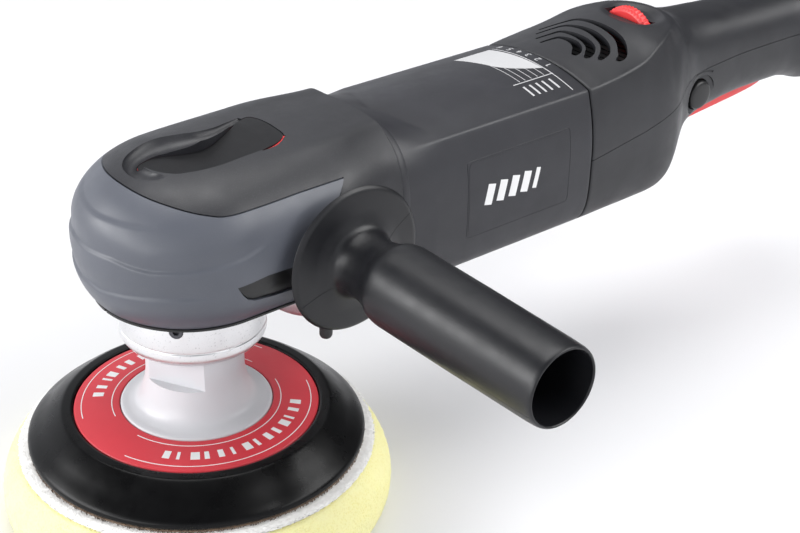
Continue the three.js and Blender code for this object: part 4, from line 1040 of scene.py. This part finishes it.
def build_controls():
    radius, half = DIAL_RADIUS, DIAL_WIDTH / 2
    centre_x = DIAL_AXIS[0]

    def knurl(points, turn):
        y, z = points[..., 1], points[..., 2] - DIAL_AXIS[2]
        r = np.hypot(y, z)
        ridge = KNURL_DEPTH * (0.5 + 0.5 * np.cos(turn * KNURL_RIDGES)) ** 0.7
        cut = np.where(r > radius - 1.2, ridge[None, :], 0)
        out = points.copy()
        out[..., 1] -= y / np.maximum(r, 1e-6) * cut
        out[..., 2] -= z / np.maximum(r, 1e-6) * cut
        return out

    dial = lathe("dial_wheel", rounded([
        (0, centre_x - half), (radius - 2.2, centre_x - half, 0.6), (radius, centre_x - half + 1.1, 0.8),
        (radius, centre_x + half - 1.1, 0.8), (radius - 2.2, centre_x + half, 0.6), (0, centre_x + half),
    ]), (0, DIAL_AXIS[2]), "x", 368, knurl)
    piece(dial, TRIGGER_RED, "speed_dial", replaces=["speed_dial"])

    profile = [(288.2, 118.6), (288.3, 111), (289.4, 105.8), (294, 102.7), (302, 101.5), (312, 101.9), (325, 103),
               (350, 105.2), (365, 107.2), (371.4, 109.8), (372.8, 114), (371.2, 119.4), (350, 119.6), (306, 119.3)]
    line = spline(profile, 120, closed=True)
    inward = grown(line, -1.3)
    slim = grown(line, -0.4)
    rings = [np.stack([c[:, 0], np.full(len(c), y), c[:, 1]], 1) for y, c in
             ((-7.5, inward), (-7.1, slim), (-6.3, line), (6.3, line), (7.1, slim), (7.5, inward))]
    trigger = loft("trigger_paddle", rings)
    piece(trigger, TRIGGER_RED, "trigger", replaces=["trigger"])

    low, high = place("lock_button")
    face, back = low[1], high[1]
    button = lathe("lock_on_button", rounded([
        (0, face), (4.5, face + 0.06), (6.4, face + 0.3, 0.6), (7.5, face + 0.9, 0.6), (7.9, face + 2.2, 0.6),
        (7.9, back, 0.4), (0, back),
    ]), (BUTTON_AXIS[0], BUTTON_AXIS[2]), "y", 72)
    piece(button, SATIN_BLACK, "lock_button", replaces=["lock_button"])

    low, high = place("cord_gland")
    z = (low[2] + high[2]) / 2
    x0 = HANDLE_END + GAP
    gland = lathe("cord_gland_ring", rounded([
        (4, 396.2), (7, 396.2, 0.4), (7, x0), (9, x0, 0.3), (9, x0 + 2.2, 0.5), (8.3, x0 + 2.7, 0.4),
        (8.3, x0 + 3.2, 0.4),
        (8.8, x0 + 3.7, 0.4), (8.8, high[0] - 0.8, 0.6), (8, high[0], 0.5), (5, high[0], 0.6),
        (4, high[0] - 1.2, 0.5), (4, 396.2),
    ])[:-1], (0, z), "x", 72)
    piece(gland, SATIN_BLACK, replaces=["cord_gland"])


# ---------------------------------------------------------------- side handle
def build_side_handle():
    start = GRIP_BACK
    face = 58.0
    profile = rounded([
        (0, start), (31.4, start, 0.8), (33, start + 1.2, 0.8), (33, face - 1.9, 0.9), (31.6, face - 0.6, 1.2),
        (22, face + 0.6, 2.0), (15.6, face + 2.8, 2.6), (14, face + 8, 2.5), (14.2, face + 13.5, 2.0),
        (15.6, face + 20, 2.0),
        (18.2, face + 25.4, 2.2), (18.6, face + 29, 2.0), (18.3, face + 70, 5), (17.7, GRIP_END - 6, 4),
        (17.4, GRIP_END - 1.6, 0.8),
        (16.9, GRIP_END - 0.3, 0.5), (16.2, GRIP_END, 0.3), (15.7, GRIP_END - 0.6, 0.3), (15.3, face + 34, 2.0),
        (12, face + 31, 2),
        (0, face + 30),
    ], 6)
    turned = lathe("screwed_grip", profile * (1, -1), (GRIP_AXIS[0], GRIP_AXIS[2]), "y", 144)
    centre = (GRIP_AXIS[0], GRIP_AXIS[2])
    combine(turned, plug("stud_way", 5.2, -80, -40, centre, "y", 40))
    angle = math.radians(205)
    for extra in (0, math.pi):
        path = []
        for r, d in profile[4:]:
            if d > GRIP_END - 1.2 or len(path) > 2 and d < -path[-1][1] - 0.5:
                break
            path.append((centre[0] + (r + 0.02) * math.cos(angle + extra), -d,
                         centre[1] + (r + 0.02) * math.sin(angle + extra)))
        combine(turned, rod("parting", np.array(path), 0.16, 6))
    piece(turned, GRIP_BLACK, replaces=["side_handle"])


# ---------------------------------------------------------------- collar, hub, plate and pad
SET_SCREW_ANGLE = 225
FLAT_ANGLES = (389, 569)  # where the hub's two spanner flats face
HOOK_STALKS, LOOP_TUFTS = 1500, 2600
HOOK_HALF, TUFT_HALF = 0.14, 0.07  # half widths of a stalk and a tuft


def build_collar():
    outer, inner = (COLLAR_HIGH[0] - COLLAR_LOW[0]) / 2, 29.9
    low, high = COLLAR_LOW[2], COLLAR_HIGH[2]
    ring = lathe("collar_ring", rounded([
        (inner, low + 0.6), (inner + 0.6, low, 0.3), (outer - 2.0, low, 0.6), (outer - 0.2, low + 2.2, 0.8),
        (outer, low + 3.4, 0.6),
        (outer, low + 6.2, 0.2), (outer - 0.35, low + 6.5, 0.2), (outer - 0.35, low + 7.1, 0.2),
        (outer, low + 7.4, 0.2),
        (outer, high - 0.7, 0.5), (outer - 0.8, high, 0.4), (inner, high), (inner, low + 0.6),
    ])[:-1], (0, 0), "z", 192)
    screw_low, screw_high = place("collar_set_screw")
    z = (screw_low[2] + screw_high[2]) / 2
    direction = np.array([math.cos(math.radians(SET_SCREW_ANGLE)), math.sin(math.radians(SET_SCREW_ANGLE)), 0])
    rise = np.array([0, 0, z])
    combine(ring, rod("screw_way", np.array([direction * r + rise for r in (25, 30, 34, 40)]), 3.1, 40))
    piece(ring, COLLAR_METAL, replaces=["spindle_collar"])
    screw = rod("set_screw_body", np.array([direction * r + rise for r in (30.0, 31, 32, 32.6)]), 2.75, 40)
    combine(screw, rod("screw_socket", np.array([direction * r + rise for r in (31.2, 32, 35)]), 1.5, 6))
    piece(screw, DARK_STEEL, replaces=["collar_set_screw"])


def build_hub():
    centre = PAD_AXIS
    hub = lathe("hub_casting", rounded([
        (0, 47.6), (32.6, 47.6, 0.4), (33.6, 48.4, 0.4), (33.6, 50.4, 0.5), (32.8, 51.1, 0.5),
        (29.5, 51.5, 1.5), (26.2, 53, 2.5),
        (24, 57, 3.0), (22.6, 62, 3.0), (21.7, 67, 2.0), (21.5, 80, 1), (21.5, 81.6, 0.6), (20.8, 82.9, 0.5),
        (0, 82.9),
    ], 6), centre, "z", 160)
    for angle in FLAT_ANGLES:
        turn = math.radians(angle)
        c, s = math.cos(turn), math.sin(turn)
        cutter = box("flat", (16.9, -20, 0), (30, 20, 13.6))
        moved = [(v.co[0] * c - v.co[1] * s + centre[0] * MM, v.co[0] * s + v.co[1] * c + centre[1] * MM,
                  v.co[2] + 67.0 * MM)
                 for v in cutter.data.vertices]
        cutter.data.vertices.foreach_set("co", np.array(moved).ravel())
        combine(hub, cutter)
    for radius, z0, z1 in ((5.3, 59.7, 100), (8, 40, 57), (3.4, 50, 70)):
        combine(hub, plug("hub_bore", radius, z0, z1, centre, "z", 48))
    piece(hub, HUB_GREY, "pad", replaces=["pad_hub"])

    ring_top = lambda r: 50.5 + (49.1 - 50.5) * (r - 33.9) / (54.2 - 33.9)
    ring = lathe("ring_cap", rounded([
        (33.9, 47.6), (33.9, 50.2, 0.3), (34.3, ring_top(34.3), 0.3), (53.6, ring_top(53.6), 0.4),
        (54.2, 48.6, 0.4), (54.2, 47.6),
        (33.9, 47.6),
    ])[:-1], centre, "z", 192)
    piece(ring, RING_RED, "pad", replaces=["pad_ring"])

    marks = []

    def arc(r0, r1, a0, a1):
        turn = np.radians(np.linspace(a0, a1, max(2, int(abs(a1 - a0) / 2)) + 1))
        rings = []
        for t in turn:
            c, s = math.cos(t), math.sin(t)
            rings.append([(centre[0] + r * c, centre[1] + r * s, ring_top(r) + lift)
                          for r, lift in ((r0, -0.1), (r1, -0.1), (r1, 0.07), (r0, 0.07))])
        marks.append(strip(rings))

    for start in (0, 180):
        arc(37.2, 37.6, start + 14, start + 166)
        arc(50.6, 51.0, start + 20, start + 160)
        for k, width in enumerate((2.6, 1.2, 3.4, 1.8, 2.2, 1.2, 3.0, 1.4, 2.4, 1.8, 3.2, 1.2, 2.0, 2.6)):
            a = start + 38 + k * 7.6
            arc(41.6, 46.4, a, a + width * 1.5)
    piece(joined("ring_marks", marks), PRINT_WHITE, "pad")

    plate = lathe("plate_moulding", rounded([
        (9, 34.4), (74.2, 34.4, 0.3), (75, 35.1, 0.4), (75, 36.6, 0.8), (74.2, 37.8, 0.8), (72.4, 39.4, 1.5),
        (69, 42, 2.5),
        (65.6, 44.9, 2.5), (62.5, 47.2, 1.5), (60.4, 48.6, 0.7), (59.4, 49.1, 0.6), (55.6, 49.3, 0.5),
        (54.7, 48.8, 0.3), (54.6, 47.1),
        (9, 47.1), (9, 34.4),
    ], 6)[:-1], centre, "z", 224)
    piece(plate, PLATE_BLACK, "pad", replaces=["backing_plate"])


def build_pad():
    centre = PAD_AXIS
    random = np.random.default_rng(7)
    hooks = lathe("hook_backing", rounded([(0, 32.95), (73.9, 32.95, 0.2), (74.3, 33.2, 0.2), (74.3, 33.8, 0.2),
                                           (73.9, 33.95, 0.2), (0, 33.95)]),
                  centre, "z", 160)
    piece(hooks, HOOK_BROWN, "pad", replaces=["hook_layer"])
    stalks = []
    for k in range(HOOK_STALKS):
        a = 2 * math.pi * (k + random.uniform(-0.3, 0.3)) / HOOK_STALKS
        r = random.uniform(72.6, 74.6)
        lean = random.uniform(-0.5, 0.5, 2)
        z0, z1 = 32.5, 34.3
        x, y = centre[0] + r * math.cos(a), centre[1] + r * math.sin(a)
        w = HOOK_HALF
        base = [(x - w, y - w, z0), (x + w, y - w, z0), (x, y + w, z0)]
        tip = [(px + lean[0], py + lean[1], z1) for px, py, _ in base]
        stalks.append((np.array(base + tip), [(0, 1, 2), (3, 5, 4), (0, 3, 4, 1), (1, 4, 5, 2), (2, 5, 3, 0)]))
    piece(joined("hook_stalks", stalks), HOOK_BROWN, "pad")

    def fuzz(points, turn):
        rough = random.normal(0, 0.16, points.shape[:2])
        r = np.hypot(points[..., 0] - centre[0], points[..., 1] - centre[1])
        edge = (r > 70)[..., None]
        shift = np.stack([np.cos(turn)[None, :] * rough * 2, np.sin(turn)[None, :] * rough * 2, rough * 0.5], -1)
        return points + np.where(edge, shift, 0)

    loops = lathe("loop_cloth", rounded([
        (0, 30.3), (77.6, 30.3, 0.4), (78.9, 30.7, 0.4), (79.2, 31.4, 0.4), (78.8, 32.2, 0.4),
        (77.4, 32.5, 0.5), (74, 32.6, 1), (68, 32.6), (0, 32.6),
    ], 4), centre, "z", 720, fuzz)
    piece(loops, LOOP_WHITE, "pad", replaces=["loop_layer"], angle=70)
    tufts = []
    for k in range(LOOP_TUFTS):
        a = 2 * math.pi * (k + random.uniform(-0.5, 0.5)) / LOOP_TUFTS
        r = random.uniform(77.6, 79.2)
        z = random.uniform(30.7, 32.4)
        x, y = centre[0] + r * math.cos(a), centre[1] + r * math.sin(a)
        out = random.uniform(0.5, 1.2)
        side = random.uniform(-0.8, 0.8)
        c, s = math.cos(a), math.sin(a)
        tip = (x + out * c - side * s, y + out * s + side * c, z + random.uniform(-0.3, 0.7))
        w = TUFT_HALF
        base = [(x - w * s, y + w * c, z - w), (x + w * s, y - w * c, z - w), (x, y, z + w)]
        tufts.append((np.array(base + [tip]), [(0, 1, 2), (0, 3, 1), (1, 3, 2), (2, 3, 0)]))
    piece(joined("loop_tufts", tufts), LOOP_WHITE, "pad")

    table = [(0, 0), (20, 0), (50, 0), (70, 0), (80.5, 0.0), (83.4, 0.5), (85.4, 2.2), (86.6, 5), (87.2, 9),
             (87.2, 13), (86.5, 17.6),
             (85, 22), (82.4, 26.6), (80.6, 29), (79.4, 29.8), (77.5, 30), (60, 30), (30, 30), (0, 30)]
    curve = spline(table, 150)
    curve[:, 1] = np.clip(curve[:, 1], 0, FOAM_TOP)
    curve[0], curve[-1] = (0, 0), (0, FOAM_TOP)

    def cells(points, turn):
        r = np.hypot(points[..., 0] - centre[0], points[..., 1] - centre[1])
        rough = random.normal(0, 1, points.shape[:2])
        rough = (rough + np.roll(rough, 1, 1) + np.roll(rough, 1, 0)) / 1.7
        edge = ease((r - 60) / 15) * ease((points[..., 2] - 0.4) / 2) * ease((29.8 - points[..., 2]) / 1.5)
        wave = 0.35 * np.sin(3 * turn + 0.7) + 0.22 * np.sin(7 * turn)
        out = points.copy()
        push = edge * (0.11 * rough + wave[None, :])
        out[..., 0] += push * np.cos(turn)[None, :]
        out[..., 1] += push * np.sin(turn)[None, :]
        return out

    pad = lathe("foam_disc", curve, centre, "z", 620, cells)
    piece(pad, FOAM_YELLOW, "pad", replaces=["foam_pad"], angle=80)


# ---------------------------------------------------------------- prints
def slab(left, right, surface, lift=0.07, sink=0.12):
    """Thin closed slab between two curves that lie on a surface."""
    rings = []
    for a, b in zip(left, right):
        pa, na = surface(*a)
        pb, nb = surface(*b)
        rings.append([pa - na * sink, pb - nb * sink, pb + nb * lift, pa + na * lift])
    return strip(rings)


def stroke(points, width, surface, steps=None):
    """Slab of even width along a polyline."""
    p = np.asarray(points, float)
    length = distances(p)
    steps = steps or max(2, int(length[-1] / 1.2))
    line = resample(p, length, np.unique(np.concatenate([np.linspace(0, length[-1], steps + 1), length])))
    normal = left_normals(line)
    return slab(line + normal * width / 2, line - normal * width / 2, surface)


def on_top(x, y):
    slope = -2 * (MOTOR_CROWN - CREASE_Z) * y / CREASE_Y**2
    normal = np.array([0, -slope, 1.0])
    return np.array([x, y, float(motor_top(y))]), normal / np.linalg.norm(normal)


def on_side(sign):
    def place_on(x, z):
        y = float(motor_side(z))
        slope = (float(motor_side(z + 0.1)) - float(motor_side(z - 0.1))) / 0.2
        normal = np.array([0, sign, -slope])
        return np.array([x, sign * y, z]), normal / np.linalg.norm(normal)

    return place_on


DIGITS = {
    1: [[(-0.5, 0.6), (0.1, 1), (0.1, -1)]],
    2: [[(-0.6, 0.6), (-0.3, 0.95), (0.3, 0.95), (0.6, 0.5), (0.4, 0), (-0.6, -1), (0.65, -1)]],
    3: [[(-0.6, 0.8), (0, 1), (0.5, 0.75), (0.4, 0.2), (0, 0.05), (0.5, -0.15), (0.6, -0.6), (0.1, -1),
         (-0.6, -0.8)]],
    4: [[(0.3, -1), (0.3, 1), (-0.65, -0.35), (0.7, -0.35)]],
    5: [[(0.55, 1), (-0.4, 1), (-0.5, 0.1), (0.1, 0.25), (0.6, -0.2), (0.5, -0.8), (0, -1), (-0.6, -0.8)]],
    6: [[(0.4, 1), (-0.3, 0.5), (-0.6, -0.3), (-0.3, -0.95), (0.3, -0.95), (0.6, -0.45), (0.3, 0.05),
         (-0.3, 0.05), (-0.55, -0.3)]],
}


BADGE_EDGE, BADGE_CORNER = 0.9, 2.6
BADGE_BARS = ((136, 4.6), (143.5, 4.6), (151, 4.6), (158.5, 4.6), (165.2, 2.6))  # x and width
BAR_TALL, BAR_LEAN = 10, 2.4


def build_prints():
    chart = [stroke([(169.5, -18), (195, -18)], 0.5, on_top), stroke([(194.5, -32.4), (194.5, 24)], 0.5, on_top)]
    for digit, y in zip(range(1, 7), (-11, -3.7, 3.1, 9.4, 15.9, 23.5)):
        for line in DIGITS[digit]:
            chart.append(stroke([(198.7 - 1.6 * v, y + 1.6 * u) for u, v in line], 0.42, on_top))
    curve = bezier((194.2, -11.9), (177, -5), (174.6, 3.6), 26).tolist() + bezier((174.6, 3.6), (172, 12),
            (169.5, 24), 20).tolist()[1:]
    curve = np.array(curve)
    edge_x = np.interp(curve[:, 1], [-12, 24], [194.0, 192.4])
    chart.append(slab(curve, np.stack([edge_x, curve[:, 1]], 1), on_top))
    for x in (174.5, 178, 182, 186, 190):
        stop = float(np.interp(194.2 - x, 194.2 - curve[:, 0], curve[:, 1]))
        chart.append(stroke([(x, -17), (x, stop)], 0.3, on_top))
    for x in (173, 177, 181, 185, 189.5):
        chart.append(stroke([(x, -21), (x, -28.6)], 1.1, on_top))
    piece(joined("speed_chart_print", chart), CHART_GREY)

    low, high = place("badge_right")
    for name, sign in (("right", -1), ("left", 1)):
        surface = on_side(sign)
        xs = np.linspace(low[0] + BADGE_EDGE, high[0] - BADGE_EDGE, 40)
        count = 26
        grid = []
        for x in xs:
            edge = min(x - xs[0], xs[-1] - x)
            corner = BADGE_CORNER
            cut = corner - math.sqrt(max(0, corner**2 - (corner - edge) ** 2)) if edge < corner else 0
            z0, z1 = low[2] + BADGE_EDGE + cut, high[2] - BADGE_EDGE - cut
            grid.append([surface(x, z) for z in np.linspace(z0, z1, count)])
        outer = np.array([[p + n * 0.10 for p, n in row] for row in grid])
        back = np.array([[p - n * 0.5 for p, n in row] for row in grid])
        rows = len(grid)
        points = np.vstack([outer.reshape(-1, 3), back.reshape(-1, 3)])
        faces = quads(rows, count, wrap_columns=False) + quads(rows, count, wrap_columns=False, offset=rows * count)
        shift = rows * count
        border = [i * count for i in range(rows)] + [(rows - 1) * count + j for j in range(1, count)]
        border += [i * count + count - 1 for i in range(rows - 2, -1, -1)] + [j for j in range(count - 2, 0, -1)]
        faces += [(a, b, shift + b, shift + a) for a, b in zip(border, border[1:] + border[:1])]
        panel = make(f"badge_panel_{name}", points, faces)
        piece(panel, BADGE_GREY, replaces=[f"badge_{name}"])

        def raised(x, z):
            point, normal = surface(x, z)
            return point + normal * 0.1, normal

        bars = []
        mid = (low[2] + high[2]) / 2
        for x, wide in BADGE_BARS:
            path = [(x - BAR_LEAN / 2, mid - BAR_TALL / 2), (x + BAR_LEAN / 2, mid + BAR_TALL / 2)]
            bars.append(stroke(path, wide, raised, 12))
        piece(joined(f"badge_bars_{name}", bars), PRINT_WHITE)


# ---------------------------------------------------------------- CAD pieces that stay in view
INNER_FINISH = {
    "cast_aluminium": CAST_METAL, "bright_aluminium": COLLAR_METAL, "dark_steel": DARK_STEEL, "bright_steel": STEEL,
    "copper": COPPER, "brass": BRASS, "carbon": CARBON, "board_green": BOARD, "trim_black": SATIN_BLACK,
    "red_plastic": TRIGGER_RED, "grained_black": SHELL_BLACK, "handle_black": GRIP_BLACK, "body_grey": BODY_GREY,
    "bumper_grey": BUMPER_GREY, "badge_grey": BADGE_GREY, "light_grey": HUB_GREY, "red_ring": RING_RED,
    "plate_rubber": PLATE_BLACK, "hook_bristle": HOOK_BROWN, "loop_white": LOOP_WHITE, "foam_yellow": FOAM_YELLOW,
}


def finish_cad_pieces():
    slots = {s["node"]: s["material_slot"] for s in frame["record"]["subparts"]}
    for name, node in frame["nodes"].items():
        node.data.materials.clear()
        node.data.materials.append(INNER_FINISH[slots[name]])
        smooth(node, 34)


build_head()
build_belly()
build_motor_housing()
build_rear()
build_controls()
build_side_handle()
build_collar()
build_hub()
build_pad()
build_prints()
finish_cad_pieces()
